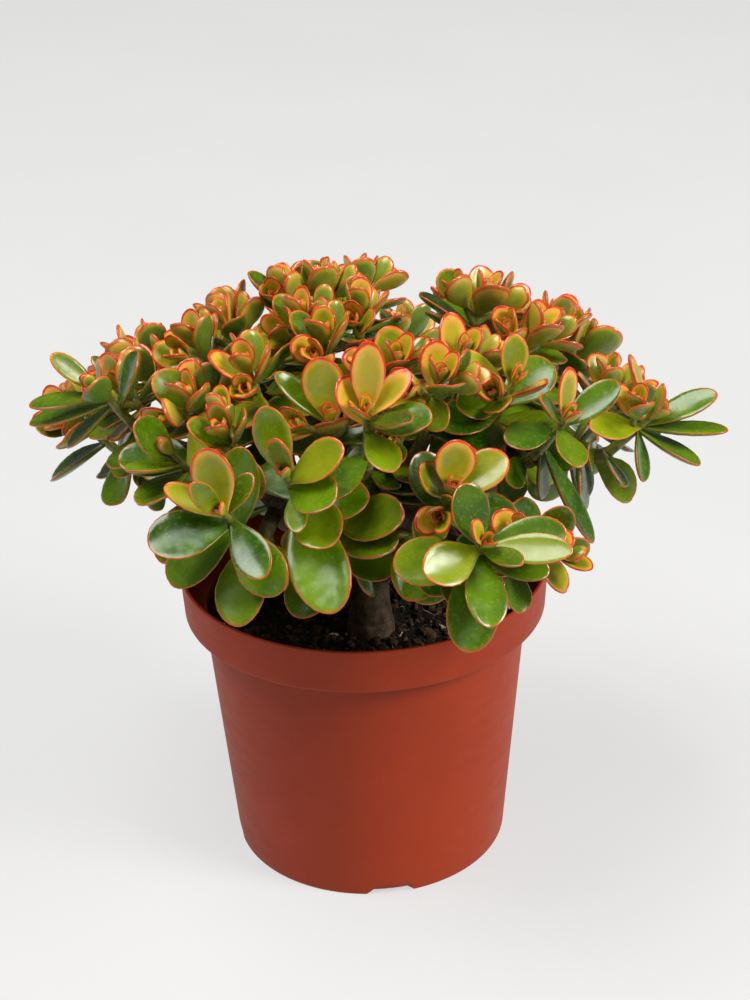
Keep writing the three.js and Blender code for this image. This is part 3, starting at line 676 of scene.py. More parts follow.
def pair_leaf(tip, pair, opposite):
    """A crossed pair's leaf, with a little of its own in its turn, incline and size."""
    seed = 20 * tip.number + 2 * pair + opposite
    length = tip.share * PAIR_LENGTH[pair] * (0.92 + 0.16 * chance(seed, 3))
    return dict(
        below=tip.share * PAIR_BELOW[pair],
        turn=tip.turn + 90 * pair + 180 * opposite + 12 * (chance(seed, 1) - 0.5),
        incline=PAIR_INCLINE[pair] + 8 * (chance(seed, 2) - 0.5),
        length=length,
        width=length * (0.56 + 0.1 * chance(seed, 4)),
        bend=PAIR_BEND[pair],
        youth=PAIR_YOUTH[pair],
        seed=seed,
    )


def chosen_leaf(tip, number, below, x, y, height, width):
    """A leaf given by its tip. It is younger the higher it starts and the shorter it is."""
    reach = raised((x, y, height)) - tip.heart + tip.axis * below
    length = np.linalg.norm(reach)
    out = np.array([reach @ tip.across, reach @ tip.ahead])
    incline = math.degrees(math.atan2(np.linalg.norm(out) - LEAF_ROOT, reach @ tip.axis))
    return dict(
        chosen=True,
        below=below,
        turn=math.degrees(math.atan2(out[1], out[0])) % 360.0,
        incline=incline,
        length=length,
        width=width,
        bend=CHOSEN_BEND,
        youth=float(np.clip(1.0 - below / 12.0, 0.0, 0.9) * np.clip(1.45 - length / 42.0, 0.3, 1.0)),
        seed=1000 + 20 * tip.number + number,
    )


def place_pair(foliage, tip, leaf_of, *which):
    """Both leaves of a pair."""
    for opposite in (0, 1):
        place_where_it_fits(foliage, tip, leaf_of(tip, *which, opposite))


def grow_leaves():
    """Chosen leaves first, then pair by pair from the youngest, so that older leaves give way to
    every tip's young ones."""
    foliage = Foliage()
    for tip in TIPS:
        for number, facts in enumerate(tip.chosen):
            place_where_it_fits(foliage, tip, chosen_leaf(tip, number, *facts))
    for pair in ALL_PAIRS:
        for tip in TIPS:
            if pair in tip.pairs:
                place_pair(foliage, tip, pair_leaf, pair)
    return foliage


# The smallest leaves round the growing point: start below it, turn past the youngest pair, incline,
# and length.
BUD_PAIRS = ((2.2, 90, 13, 12.5), (0.9, 0, 8, 7.0))


def bud_leaf(tip, number, opposite):
    """A leaf of one of the smallest pairs."""
    below, turn, incline, length = BUD_PAIRS[number]
    seed = 2000 + 10 * tip.number + 2 * number + opposite
    return dict(
        below=tip.share * below,
        turn=tip.turn + turn + 180 * opposite + 16 * (chance(seed, 1) - 0.5),
        incline=incline + 8 * chance(seed, 2),
        length=tip.share * length * (0.9 + 0.25 * chance(seed, 3)),
        width=tip.share * length * (0.52 + 0.08 * chance(seed, 4)),
        bend=0.1,
        youth=1.0,
        seed=seed,
        bud=True,
    )


def add_buds(foliage):
    for number in range(len(BUD_PAIRS)):
        for tip in TIPS:
            place_pair(foliage, tip, bud_leaf, number)


# Old leaf pairs low on the twigs: their places as shares of a twig's length, and their length.
TWIG_PAIR_SHARES = (0.28, 0.5, 0.74, 0.94)
TWIG_LEAF_LENGTH = 31.0


def twig_places():
    """Places for leaf pairs along every twig, as tips without a stem of their own."""
    twigs = [limb for limb in WOOD if limb.owner != "trunk" and limb.length > 1.5 * KNOB_LENGTH]
    places = []
    for count, twig in enumerate(twigs):
        for step, share in enumerate(TWIG_PAIR_SHARES):
            here, ahead = twig.at([share, share + 0.03])
            number = 1000 + 4 * count + step
            turn = 90 * step + 40 * chance(number, 80)
            places.append(Tip(number, twig.owner, here, unit(ahead - here), 1.0, turn, ()))
    return places


def twig_leaf(place, opposite):
    """One leaf of an old pair, nearly square to its twig."""
    seed = 2 * place.number + opposite
    length = TWIG_LEAF_LENGTH * (0.8 + 0.4 * chance(seed, 3))
    return dict(
        below=0.0,
        turn=place.turn + 180 * opposite,
        incline=60 + 25 * chance(seed, 2),
        length=length,
        width=length * (0.58 + 0.1 * chance(seed, 4)),
        bend=0.04,
        youth=0.0,
        seed=seed,
    )


def add_twig_leaves(foliage):
    for place in twig_places():
        place_pair(foliage, place, twig_leaf)


# ------------------------------------------------------------------ leaf surfaces

# Shares of the length at a leaf's cross-sections: even steps up to the widest place, and the sines
# of even angles from there to the tip.
NECK_SHARES = np.array([0.0, 0.07, 0.16, 0.28, 0.43])
TIP_ANGLES = np.radians([0, 19, 37, 54, 69, 81])
SECTION_SHARES = np.concatenate([NECK_SHARES, WIDEST + (1 - WIDEST) * np.sin(TIP_ANGLES)])
# Angles round a cross-section, closer together along both edges.
ROUND_ANGLES = np.radians([0, 20, 50, 90, 130, 160, 180, 204, 235, 270, 305, 336])
# How far the top and the underside lie from the middle surface, as shares of the thickness.
TOP_SHARE = 0.42
UNDER_SHARE = 0.66
# How much wider and how much more cupped a fleshy leaf is than its faceted solid.
FULLNESS = 1.1
CUP_FULLNESS = 1.25


def leaf_surfaces(leaves):
    """Closed fleshy leaves. A point at share u along and angle a round lies at the middle surface's
    point for v = cos a, moved along the face by thickness * body(u) * sin a: less above than below,
    so that the top is flat and the underside full. body runs from a thick neck to the widest place
    and then closes as a quarter of an ellipse. The top dips a little along the midrib."""
    u = SECTION_SHARES
    v = np.cos(ROUND_ANGLES)
    lift = np.sin(ROUND_ANGLES)
    neck = 0.62 + 0.38 * smoothstep(0.0, 0.5, u)
    tip = np.sqrt(np.clip(1 - (np.clip(u - WIDEST, 0, None) / (1 - WIDEST)) ** 2, 0, None))
    body = neck * tip**0.8
    share = np.where(lift > 0, TOP_SHARE, UNDER_SHARE) * np.sign(lift) * np.abs(lift) ** 0.8
    dip = -0.16 * np.exp(-((v / 0.35) ** 2)) * (lift > 0)
    profile = body[:, None] * share[None] + (body * smoothstep(0.05, 0.4, u) * tip)[:, None] * dip[None]
    points, facts = [], []
    for leaf in leaves:
        half = half_width(FULLNESS * leaf.width, u)
        sway = 0.05 * (chance(leaf.seed, 7) - 0.5) * leaf.length
        tilt = 0.5 * (chance(leaf.seed, 8) - 0.5)
        side = half[:, None] * v[None] + (sway * u * u)[:, None]
        height = (
            (leaf.bend * leaf.length * u * u)[:, None]
            + CUP_FULLNESS * leaf.cup * half[:, None] * (v * v)[None]
            + tilt * 0.2 * (u[:, None] ** 2) * half[:, None] * v[None]
            + leaf.thickness * profile
        )
        shell = (
            leaf.foot
            + leaf.along * (leaf.length * u)[:, None, None]
            + leaf.side * side[..., None]
            + leaf.face * height[..., None]
        )
        base = leaf.foot
        end = leaf.foot + leaf.along * leaf.length + leaf.side * sway + leaf.face * leaf.bend * leaf.length
        points.append(np.concatenate([shell.reshape(-1, 3), base[None], end[None]]))
        facts.append((leaf.youth, chance(leaf.seed, 5)))
    columns = len(v)
    distal = np.clip((u - WIDEST) / (1 - WIDEST), 0, 1)
    edge = np.sqrt(distal[:, None] ** 2 + (1 - distal[:, None] ** 2) * (v**2)[None])
    one_edge = np.concatenate([edge.ravel(), [0.0, 1.0]])
    one_share = np.concatenate([np.repeat(u, columns), [0.0, 1.0]])
    one_under = np.concatenate([np.tile(lift < -0.3, len(u)), [0, 0]]).astype(float)
    quads, fans = closed_faces(len(u), columns)
    total = len(u) * columns + 2
    shift = (np.arange(len(leaves)) * total)[:, None, None]
    return dict(
        points=np.concatenate(points),
        quads=(quads[None] + shift).reshape(-1, 4),
        fans=(fans[None] + shift).reshape(-1, 3),
        edge=np.tile(one_edge, len(leaves)),
        share=np.tile(one_share, len(leaves)),
        under=np.tile(one_under, len(leaves)),
        youth=np.repeat([f[0] for f in facts], total),
        tone=np.repeat([f[1] for f in facts], total),
    )


# ------------------------------------------------------------------ wood surfaces

SCAR_SPACING = 6.5
ROD_SIDES = 12
TWIG_STEP = 0.8
STEM_SECTIONS = 46
# A direction that no wood follows, from which a rod's first side is measured.
ASLANT = (0.31, 0.95, 0.05)


def rod_surface(centres, ways, radii, reference, sides):
    """A round rod: point = centre + radius * (cos a * n1 + sin a * n2), with n1 the reference made
    square to the rod's way and n2 square to both. Both ends close in a fan."""
    n1 = unit(reference - (ways @ reference)[:, None] * ways)
    n2 = np.cross(ways, n1)
    a = np.linspace(0, 2 * math.pi, sides, endpoint=False)
    spokes = np.cos(a)[None, :, None] * n1[:, None] + np.sin(a)[None, :, None] * n2[:, None]
    shell = centres[:, None] + spokes * radii[:, None, None]
    points = np.concatenate([shell.reshape(-1, 3), centres[:1], centres[-1:]])
    return points, *closed_faces(len(centres), sides)


def scarred(along, radius, seed):
    """A stem's radius along its length: it swells a little at each pair of leaf scars and has a fine
    groove there. The scars stand about evenly, each shifted a little."""
    spacing = SCAR_SPACING * (0.8 + 0.05 * radius)
    order = np.round(along / spacing)
    place = order * spacing + 0.3 * spacing * (chance(order, seed) - 0.5)
    apart = along - place
    swell = 0.07 * radius * np.exp(-((apart / 1.7) ** 2))
    groove = 0.06 * radius * np.exp(-((apart / 0.45) ** 2))
    return radius + swell - groove, np.exp(-((apart / 0.7) ** 2))


def limb_surface(limb, seed):
    """A limb of wood as a rod along its curve, with leaf scars."""
    count = max(6, int(limb.length / TWIG_STEP))
    share = np.linspace(0, 1, count)
    centres = limb.at(share)
    ways = unit(np.gradient(centres, axis=0))
    reference = np.cross(limb.knots[1] - limb.knots[0], limb.knots[3] - limb.knots[2])
    if np.linalg.norm(reference) < 1e-3:
        reference = np.cross(ways[0], ASLANT)
    radii, rings = scarred(share * limb.length, limb.radius(share), seed)
    surface = rod_surface(centres, ways, radii, unit(reference), ROD_SIDES)
    return *surface, np.concatenate([np.repeat(rings, ROD_SIDES), [0.0, 0.0]])


def plain_rod(centres, ways, radii, reference, sides):
    """A rod with no scars, as one of several surfaces to gather."""
    surface = rod_surface(centres, ways, radii, reference, sides)
    return *surface, np.zeros(len(surface[0]))


def gather(surfaces):
    """Several closed surfaces put together as one list of points, quads, triangles and numbers."""
    starts = np.cumsum([0] + [len(s[0]) for s in surfaces[:-1]])
    points = np.concatenate([s[0] for s in surfaces])
    quads = np.concatenate([s[1] + n for s, n in zip(surfaces, starts)])
    fans = np.concatenate([s[2] + n for s, n in zip(surfaces, starts)])
    values = np.concatenate([s[3] for s in surfaces])
    return points, quads, fans, values


LATTICE_CELLS = 32
LATTICE = np.random.default_rng(11).random((LATTICE_CELLS, LATTICE_CELLS, LATTICE_CELLS))


def lumps(points, size):
    """Smooth noise from -1 to 1 with lumps of about that size: a seeded lattice of numbers, read
    between the eight nearest ones with eased shares."""
    place = points / size
    cell = np.floor(place).astype(int)
    ease = place - cell
    ease = ease * ease * (3 - 2 * ease)
    total = 0.0
    for corner in np.ndindex(2, 2, 2):
        share = np.prod(np.where(np.array(corner), ease, 1 - ease), axis=-1)
        at = (cell + corner) % LATTICE_CELLS
        total = total + share * LATTICE[at[..., 0], at[..., 1], at[..., 2]]
    return 2 * total - 1


LIMB_STEP = 1.5
LIMB_SIDES = 20
STUMP_SECTIONS = 12
STUMP_SIDES = 28
BARK_VOXEL = 0.95


def trunk_piece():
    """Trunk, stump and branches as rods, melted together on a fine voxel grid and smoothed. Then
    each point moves along its normal by bark lumps, and by the ring scars of the nearest rod."""
    own = [limb for limb in WOOD if limb.owner == "trunk"]
    surfaces = []
    for limb in own:
        count = max(6, int(limb.length / LIMB_STEP))
        share = np.linspace(0, 1, count)
        centres = limb.at(share)
        ways = unit(np.gradient(centres, axis=0))
        reference = unit(np.cross(ways[count // 2], ASLANT))
        surfaces.append(plain_rod(centres, ways, limb.radius(share), reference, LIMB_SIDES))
    heights = np.linspace(SOIL_TOP - ROOT_DEPTH, SOIL_TOP + SOIL_CROWN + 6, STUMP_SECTIONS)
    centres = np.append(TRUNK_FOOT, 0.0) + heights[:, None] * UP
    spread = TRUNK_RADIUS * np.interp(heights, [heights[0], SOIL_TOP, heights[-1]], [0.8, 1.0, 0.93])
    ways = np.tile(UP, (STUMP_SECTIONS, 1))
    surfaces.append(plain_rod(centres, ways, spread, ALONG_X, STUMP_SIDES))
    points, quads, fans, _ = gather(surfaces)
    rods = put_mesh("rods", points, [quads, fans])
    melt = rods.modifiers.new("melt", "REMESH")
    melt.mode = "VOXEL"
    melt.voxel_size = BARK_VOXEL * MM
    ease = rods.modifiers.new("ease", "SMOOTH")
    ease.factor = 0.5
    ease.iterations = 6
    mesh = worked_mesh(rods)
    bpy.data.objects.remove(rods)
    places = np.empty(3 * len(mesh.vertices), np.float32)
    mesh.vertices.foreach_get("co", places)
    normals = np.empty(3 * len(mesh.vertices), np.float32)
    mesh.vertex_normals.foreach_get("vector", normals)
    places = places.reshape(-1, 3) / MM
    normals = normals.reshape(-1, 3)
    nearest = np.full(len(places), 1e9)
    along = np.zeros(len(places))
    radius = np.ones(len(places))
    for limb in own:
        share = np.linspace(0, 1, max(8, int(limb.length)))
        line = limb.at(share)
        gaps = np.linalg.norm(places[:, None] - line[None], axis=2) - limb.radius(share)[None]
        best = gaps.argmin(axis=1)
        gap = gaps[np.arange(len(places)), best]
        closer = gap < nearest
        nearest[closer] = gap[closer]
        along[closer] = (share[best] * limb.length)[closer]
        radius[closer] = limb.radius(share)[best][closer]
    _, rings = scarred(along, radius, 5)
    move = 0.35 * lumps(places, 5.0) + 0.18 * lumps(places, 1.7) - 0.28 * rings
    places = places + normals * move[:, None]
    mesh.vertices.foreach_set("co", (places * MM).astype(np.float32).ravel())
    mesh.polygons.foreach_set("use_smooth", np.ones(len(mesh.polygons), bool))
    piece = put_object("trunk_and_branches", mesh)
    put_attribute(piece, "ring", rings)
    put_attribute(piece, "young_wood", np.zeros(len(places)))
    return piece


# ------------------------------------------------------------------ pot

POT_SEGMENTS = 256
# The profile starts and ends this close to the axis.
NEAR_AXIS = 0.02


def eased_profile(corners, steps=6):
    """A profile whose corners are eased: each corner is a quadratic curve that starts and ends a
    given length before and after it. Corners are radius, height and that length."""
    corners = np.array(corners, float)
    places = corners[:, :2]
    run = [places[0]]
    for i in range(1, len(places) - 1):
        here = places[i]
        back = places[i - 1] - here
        on = places[i + 1] - here
        trim = min(corners[i, 2], 0.45 * np.linalg.norm(back), 0.45 * np.linalg.norm(on))
        start = here + unit(back) * trim
        end = here + unit(on) * trim
        t = np.linspace(0, 1, steps)[:, None]
        run.extend((1 - t) ** 2 * start + 2 * (1 - t) * t * here + t**2 * end)
    run.append(places[-1])
    return np.array(run)


def split_long(profile, longest):
    """The same profile with its long straight runs cut into shorter ones."""
    gaps = np.linalg.norm(np.diff(profile, axis=0), axis=1)
    cuts = np.maximum(1, np.ceil(gaps / longest).astype(int))
    place = np.concatenate([i + np.arange(n) / n for i, n in enumerate(cuts)] + [[len(gaps)]])
    each = np.arange(len(profile))
    return np.column_stack([np.interp(place, each, profile[:, 0]), np.interp(place, each, profile[:, 1])])


def pot_piece():
    """The pot is its profile turned about the upright axis, from the middle of the underside out,
    up the wall, over the rim and down inside. Where the foot ring has a notch, the underside is
    raised to the notch's trapezoid. Drain holes are cut through the floor."""
    ring_inside = FOOT_RADIUS - FOOT_RING_WIDTH
    profile = eased_profile([
        (NEAR_AXIS, 0, 0),
        (CENTRE_PAD_RADIUS, 0, 2),
        (CENTRE_PAD_RADIUS + CENTRE_PAD_FLARE, FLOOR_LIFT, 2),
        (ring_inside - 2, FLOOR_LIFT, 0.8),
        (ring_inside, 0, 0.8),
        (FOOT_RADIUS, 0, 1.4),
        (BODY_TOP, SHOULDER_HEIGHT, 2.2),
        (BAND_FOOT, SHOULDER_HEIGHT, 1.5),
        (RIM_RADIUS, POT_HEIGHT, 1.1),
        (RIM_RADIUS - POT_WALL, POT_HEIGHT, 1.1),
        (BAND_FOOT - POT_WALL, SHOULDER_HEIGHT + POT_WALL, 2.2),
        (BODY_INSIDE, SHOULDER_HEIGHT + POT_WALL, 1.2),
        (FOOT_INSIDE, FLOOR_TOP, 2.5),
        (CENTRE_PAD_RADIUS + CENTRE_PAD_FLARE - 1, FLOOR_TOP, 1.5),
        (CENTRE_PAD_RADIUS - 1, FLOOR_THICKNESS, 1.5),
        (NEAR_AXIS, FLOOR_THICKNESS, 0),
    ])
    profile = split_long(profile, 6.0)
    turn = np.linspace(0, 2 * math.pi, POT_SEGMENTS, endpoint=False)
    radius, level = profile[:, :1], profile[:, 1:]
    notches = np.radians(NOTCH_TURN + 360.0 / NOTCH_COUNT * np.arange(NOTCH_COUNT))
    apart = (turn[:, None] - notches[None] + math.pi) % (2 * math.pi) - math.pi
    across = FOOT_RADIUS * np.abs(np.sin(np.clip(apart, -1.5, 1.5))).min(axis=1)
    notch = np.clip(NOTCH_WIDTH / 2 - across, 0.0, NOTCH_HEIGHT)[None]
    in_ring = (radius > ring_inside - 3) & (level < NOTCH_HEIGHT)
    height = np.where(in_ring, np.maximum(level, notch), level)
    points = np.stack([radius * np.cos(turn), radius * np.sin(turn), height], -1).reshape(-1, 3)
    points = np.concatenate([points, [[0, 0, 0], [0, 0, FLOOR_THICKNESS]]])
    piece = put_mesh("pot_shell", points, closed_faces(len(profile), POT_SEGMENTS))
    cut_drain_holes(piece)
    return piece


def cut_drain_holes(piece):
    """Upright pegs round the drain circle, taken away from the pot's floor."""
    surfaces = []
    for i in range(DRAIN_COUNT):
        angle = 2 * math.pi * (i + 0.5) / DRAIN_COUNT
        foot = np.array([DRAIN_CIRCLE * math.cos(angle), DRAIN_CIRCLE * math.sin(angle), 0.0])
        centres = foot + UP * np.array([[-1.0], [FLOOR_TOP + 3.0]])
        surfaces.append(plain_rod(centres, np.tile(UP, (2, 1)), np.full(2, DRAIN_RADIUS), ALONG_X, 32))
    points, quads, fans, _ = gather(surfaces)
    pegs = put_mesh("pegs", points, [quads, fans], smooth=False)
    cut = piece.modifiers.new("drain holes", "BOOLEAN")
    cut.operation = "DIFFERENCE"
    cut.solver = "EXACT"
    cut.object = pegs
    mesh = worked_mesh(piece)
    piece.modifiers.clear()
    piece.data = mesh
    bpy.data.objects.remove(pegs)


# ------------------------------------------------------------------ soil

SOIL_RINGS = 110
SOIL_SPOKES = 300


def inner_radius(height):
    share = (height - FLOOR_TOP) / (SHOULDER_HEIGHT + POT_WALL - FLOOR_TOP)
    return FOOT_INSIDE + (BODY_INSIDE - FOOT_INSIDE) * share


def soil_height(x, y):
    """The soil's top: a low dome, sunk a little at the wall, with clods of three sizes."""
    out = np.hypot(x, y) / inner_radius(SOIL_TOP)
    dome = SOIL_TOP + SOIL_CROWN * (1 - out**2) - 1.2 * smoothstep(0.9, 1.0, out)
    flat = np.stack([x, y, np.zeros_like(x)], -1)
    clods = 1.7 * lumps(flat + 40, 13.0) + 1.5 * np.abs(lumps(flat + 90, 5.0)) + 0.9 * lumps(flat, 2.2)
    return dome + clods * (1 - 0.5 * smoothstep(0.93, 1.0, out)) - 0.8


def soil_piece():
    """The soil's body: the top on rings and spokes from the middle to the wall, then down the wall
    and in under the bottom."""
    rim = inner_radius(SOIL_TOP) - GAP
    bottom = FLOOR_TOP + GAP
    foot = inner_radius(bottom) - GAP
    turn = np.linspace(0, 2 * math.pi, SOIL_SPOKES, endpoint=False)
    reach = rim * np.linspace(1, 0.004, SOIL_RINGS)[:, None]
    x = reach * np.cos(turn)
    y = reach * np.sin(turn)
    top = np.stack([x, y, soil_height(x, y)], -1)
    ring = np.stack([np.cos(turn), np.sin(turn)], -1)
    low = np.concatenate([foot * ring, np.full((SOIL_SPOKES, 1), bottom)], -1)
    inner = np.concatenate([ring, np.full((SOIL_SPOKES, 1), bottom)], -1)
    points = np.concatenate([inner[None], low[None], top]).reshape(-1, 3)
    crown = soil_height(np.zeros(1), np.zeros(1))[0]
    points = np.concatenate([points, [[0, 0, bottom], [0, 0, crown]]])
    return put_mesh("soil_bed", points, closed_faces(SOIL_RINGS + 2, SOIL_SPOKES))


def turns(rng, count):
    """Random turns, from unit quaternions."""
    q = unit(rng.normal(size=(count, 4)))
    w, x, y, z = q.T
    return np.stack([
        np.stack([1 - 2 * (y * y + z * z), 2 * (x * y - z * w), 2 * (x * z + y * w)], -1),
        np.stack([2 * (x * y + z * w), 1 - 2 * (x * x + z * z), 2 * (y * z - x * w)], -1),
        np.stack([2 * (x * z - y * w), 2 * (y * z + x * w), 1 - 2 * (x * x + y * y)], -1),
    ], -2)


CRUMB_CORNERS = 12


def crumb_shape():
    """A ball of twenty triangles: the twelve points (0, 1, g), (1, g, 0), (g, 0, 1) with every sign,
    where g is the golden ratio, joined where they lie nearest."""
    g = (1 + 5**0.5) / 2
    corners = []
    for a in (-1, 1):
        for b in (-1, 1):
            corners += [(0, a, b * g), (a, b * g, 0), (b * g, 0, a)]
    corners = unit(np.array(corners, float))
    close = np.linalg.norm(corners[:, None] - corners[None], axis=-1) < 1.1
    faces = []
    for i, j, k in np.ndindex((CRUMB_CORNERS,) * 3):
        if i < j < k and close[i, j] and close[j, k] and close[i, k]:
            turned_out = np.linalg.det(corners[[i, j, k]]) > 0
            faces.append((i, j, k) if turned_out else (i, k, j))
    return corners, np.array(faces)


def scatter_on_soil(rng, count, keep_off_trunk=13.5):
    """Places spread evenly over the soil, clear of the trunk."""
    reach = (inner_radius(SOIL_TOP) - 3.0) * np.sqrt(rng.random(3 * count))
    angle = 2 * math.pi * rng.random(3 * count)
    x, y = reach * np.cos(angle), reach * np.sin(angle)
    clear = np.hypot(x - TRUNK_FOOT[0], y - TRUNK_FOOT[1]) > keep_off_trunk
    return x[clear][:count], y[clear][:count]


def put_tones(piece, rng, count, corners, pale_share):
    """Gives each of the equal bodies in a piece a tone of its own, and makes a share of them pale."""
    tone = rng.random(count)
    pale = rng.random(count) < pale_share
    put_attribute(piece, "tone", np.repeat(tone, corners))
    put_attribute(piece, "pale", np.repeat(pale.astype(float), corners))


def crumbs_piece(name, count, smallest, largest, flatness, seed, pale_share):
    """Crumbs on the soil: balls of twenty triangles with each corner moved in or out, stretched,
    turned and half sunk in."""
    rng = np.random.default_rng(seed)
    corners, faces = crumb_shape()
    x, y = scatter_on_soil(rng, count)
    count = len(x)
    size = smallest + (largest - smallest) * rng.random(count) ** 3
    shape = corners[None] * (1 + 0.28 * rng.normal(size=(count, CRUMB_CORNERS, 1)).clip(-1.6, 1.6))
    longer = 1 + 0.5 * rng.random(count)
    narrower = 1 - 0.3 * rng.random(count)
    stretch = np.stack([longer, narrower, np.full(count, flatness)], -1)
    shape = shape * stretch[:, None] * size[:, None, None]
    shape = np.einsum("nij,nkj->nki", turns(rng, count), shape)
    centre = np.stack([x, y, soil_height(x, y) + 0.25 * size], -1)
    points = (shape + centre[:, None]).reshape(-1, 3)
    triangles = (faces[None] + CRUMB_CORNERS * np.arange(count)[:, None, None]).reshape(-1, 3)
    piece = put_mesh(name, points, [triangles], smooth=False)
    put_tones(piece, rng, count, CRUMB_CORNERS, pale_share)
    return piece


FIBRE_SECTIONS = 6
FIBRE_SIDES = 3


def fibres_piece(count=420, seed=23):
    """Plant fibres in the soil: three-sided rods of six sections along flat arcs."""
    rng = np.random.default_rng(seed)
    x, y = scatter_on_soil(rng, count, keep_off_trunk=15.0)
    count = len(x)
    heading = 2 * math.pi * rng.random(count)
    bend = rng.normal(size=count) * 0.9
    length = 4 + 12 * rng.random(count) ** 2
    thick = 0.18 + 0.35 * rng.random(count) ** 2
    t = np.linspace(-0.5, 0.5, FIBRE_SECTIONS)
    angle = heading[:, None] + bend[:, None] * t
    px = x[:, None] + length[:, None] * t * np.cos(angle)
    py = y[:, None] + length[:, None] * t * np.sin(angle)
    limit = inner_radius(SOIL_TOP) - 2.0
    out = np.hypot(px, py)
    shrink = np.minimum(1, limit / np.maximum(out, 1e-6))
    px, py = px * shrink, py * shrink
    rise = (0.4 + 1.6 * rng.random(count) ** 2)[:, None] * (1 - (2 * t) ** 2)
    pz = soil_height(px, py) + rise
    spine = np.stack([px, py, pz], -1)
    side = np.stack([-np.sin(angle), np.cos(angle), np.zeros_like(angle)], -1)
    taper = thick[:, None] * (1 - 0.75 * np.abs(2 * t))
    around = np.radians([90, 210, 330])
    ring = spine[:, :, None] + taper[:, :, None, None] * (
        np.cos(around)[None, None, :, None] * side[:, :, None] + np.sin(around)[None, None, :, None] * UP
    )
    points = ring.reshape(-1, 3)
    quads = grid_faces(FIBRE_SECTIONS, FIBRE_SIDES)
    corners = FIBRE_SECTIONS * FIBRE_SIDES
    caps = np.array([[0, 2, 1], [corners - 3, corners - 2, corners - 1]])
    shift = (np.arange(count) * corners)[:, None, None]
    faces = [(quads[None] + shift).reshape(-1, 4), (caps[None] + shift).reshape(-1, 3)]
    piece = put_mesh("soil_fibres", points, faces)
    put_tones(piece, rng, count, corners, 0.12)
    return piece


# ------------------------------------------------------------------ finishes


class Recipe:
    """A material's node tree, with short ways to add and join nodes."""

    def __init__(self, name):
        self.material = bpy.data.materials.new(name)
        self.material.use_nodes = True
        self.tree = self.material.node_tree
        self.shader = self.tree.nodes["Principled BSDF"]

    def node(self, kind, **settings):
        made = self.tree.nodes.new(kind)
        for key, value in settings.items():
            setattr(made, key, value)
        return made

    def join(self, source, target):
        self.tree.links.new(source, target)

    def feed(self, socket, value):
        """Joins a socket to a socket, or sets it to a number or a colour."""
        if isinstance(value, bpy.types.NodeSocket):
            self.join(value, socket)
        else:
            socket.default_value = value

    def own(self, name):
        """A number that the piece's vertices carry."""
        return self.node("ShaderNodeAttribute", attribute_name=name).outputs["Fac"]

    def place(self):
        """Where on the piece, in metres."""
        return self.node("ShaderNodeTexCoord").outputs["Object"]

    def cloud(self, scale, detail=3.0, roughness=0.55, stretch=None):
        """Cloudy noise from 0 to 1, so many lumps to a metre."""
        where = self.place()
        if stretch is not None:
            mapping = self.node("ShaderNodeMapping")
            mapping.inputs["Scale"].default_value = stretch
            self.join(where, mapping.inputs["Vector"])
            where = mapping.outputs["Vector"]
        noise = self.node("ShaderNodeTexNoise")
        self.join(where, noise.inputs["Vector"])
        noise.inputs["Scale"].default_value = scale
        noise.inputs["Detail"].default_value = detail
        noise.inputs["Roughness"].default_value = roughness
        return noise.outputs["Fac"]

    def work_out(self, operation, *values):
        """One step of arithmetic on numbers and sockets."""
        step = self.node("ShaderNodeMath", operation=operation)
        for socket, value in zip(step.inputs, values):
            self.feed(socket, value)
        return step.outputs[0]

    def plus(self, a, b):
        return self.work_out("ADD", a, b)

    def times(self, a, b):
        return self.work_out("MULTIPLY", a, b)

    def times_plus(self, a, b, c):
        """The first two multiplied, and the third added."""
        return self.work_out("MULTIPLY_ADD", a, b, c)

    def between(self, value, low, high, to_low=0.0, to_high=1.0, smooth=True):
        """A value's share of the way from low to high, eased, as a number from to_low to to_high."""
        range_node = self.node("ShaderNodeMapRange")
        if smooth:
            range_node.interpolation_type = "SMOOTHSTEP"
        self.feed(range_node.inputs["Value"], value)
        self.feed(range_node.inputs["From Min"], low)
        self.feed(range_node.inputs["From Max"], high)
        self.feed(range_node.inputs["To Min"], to_low)
        self.feed(range_node.inputs["To Max"], to_high)
        return range_node.outputs["Result"]

    def blend(self, share, first, second):
        """A share of the second colour in the first."""
        mix = self.node("ShaderNodeMix", data_type="RGBA")
        self.feed(mix.inputs["Factor"], share)
        self.feed(mix.inputs[6], first)
        self.feed(mix.inputs[7], second)
        return mix.outputs[2]

    def bump(self, height, strength, depth, under=None):
        bump = self.node("ShaderNodeBump")
        bump.inputs["Strength"].default_value = strength
        bump.inputs["Distance"].default_value = depth
        self.join(height, bump.inputs["Height"])
        if under is not None:
            self.join(under, bump.inputs["Normal"])
        return bump.outputs["Normal"]


def paint(red, green, blue):
    """A colour given as 0 to 255 screen values, turned into the linear values that light uses."""
    screen = np.array([red, green, blue]) / 255.0
    linear = np.where(screen <= 0.04045, screen / 12.92, ((screen + 0.055) / 1.055) ** 2.4)
    return (*linear.tolist(), 1.0)


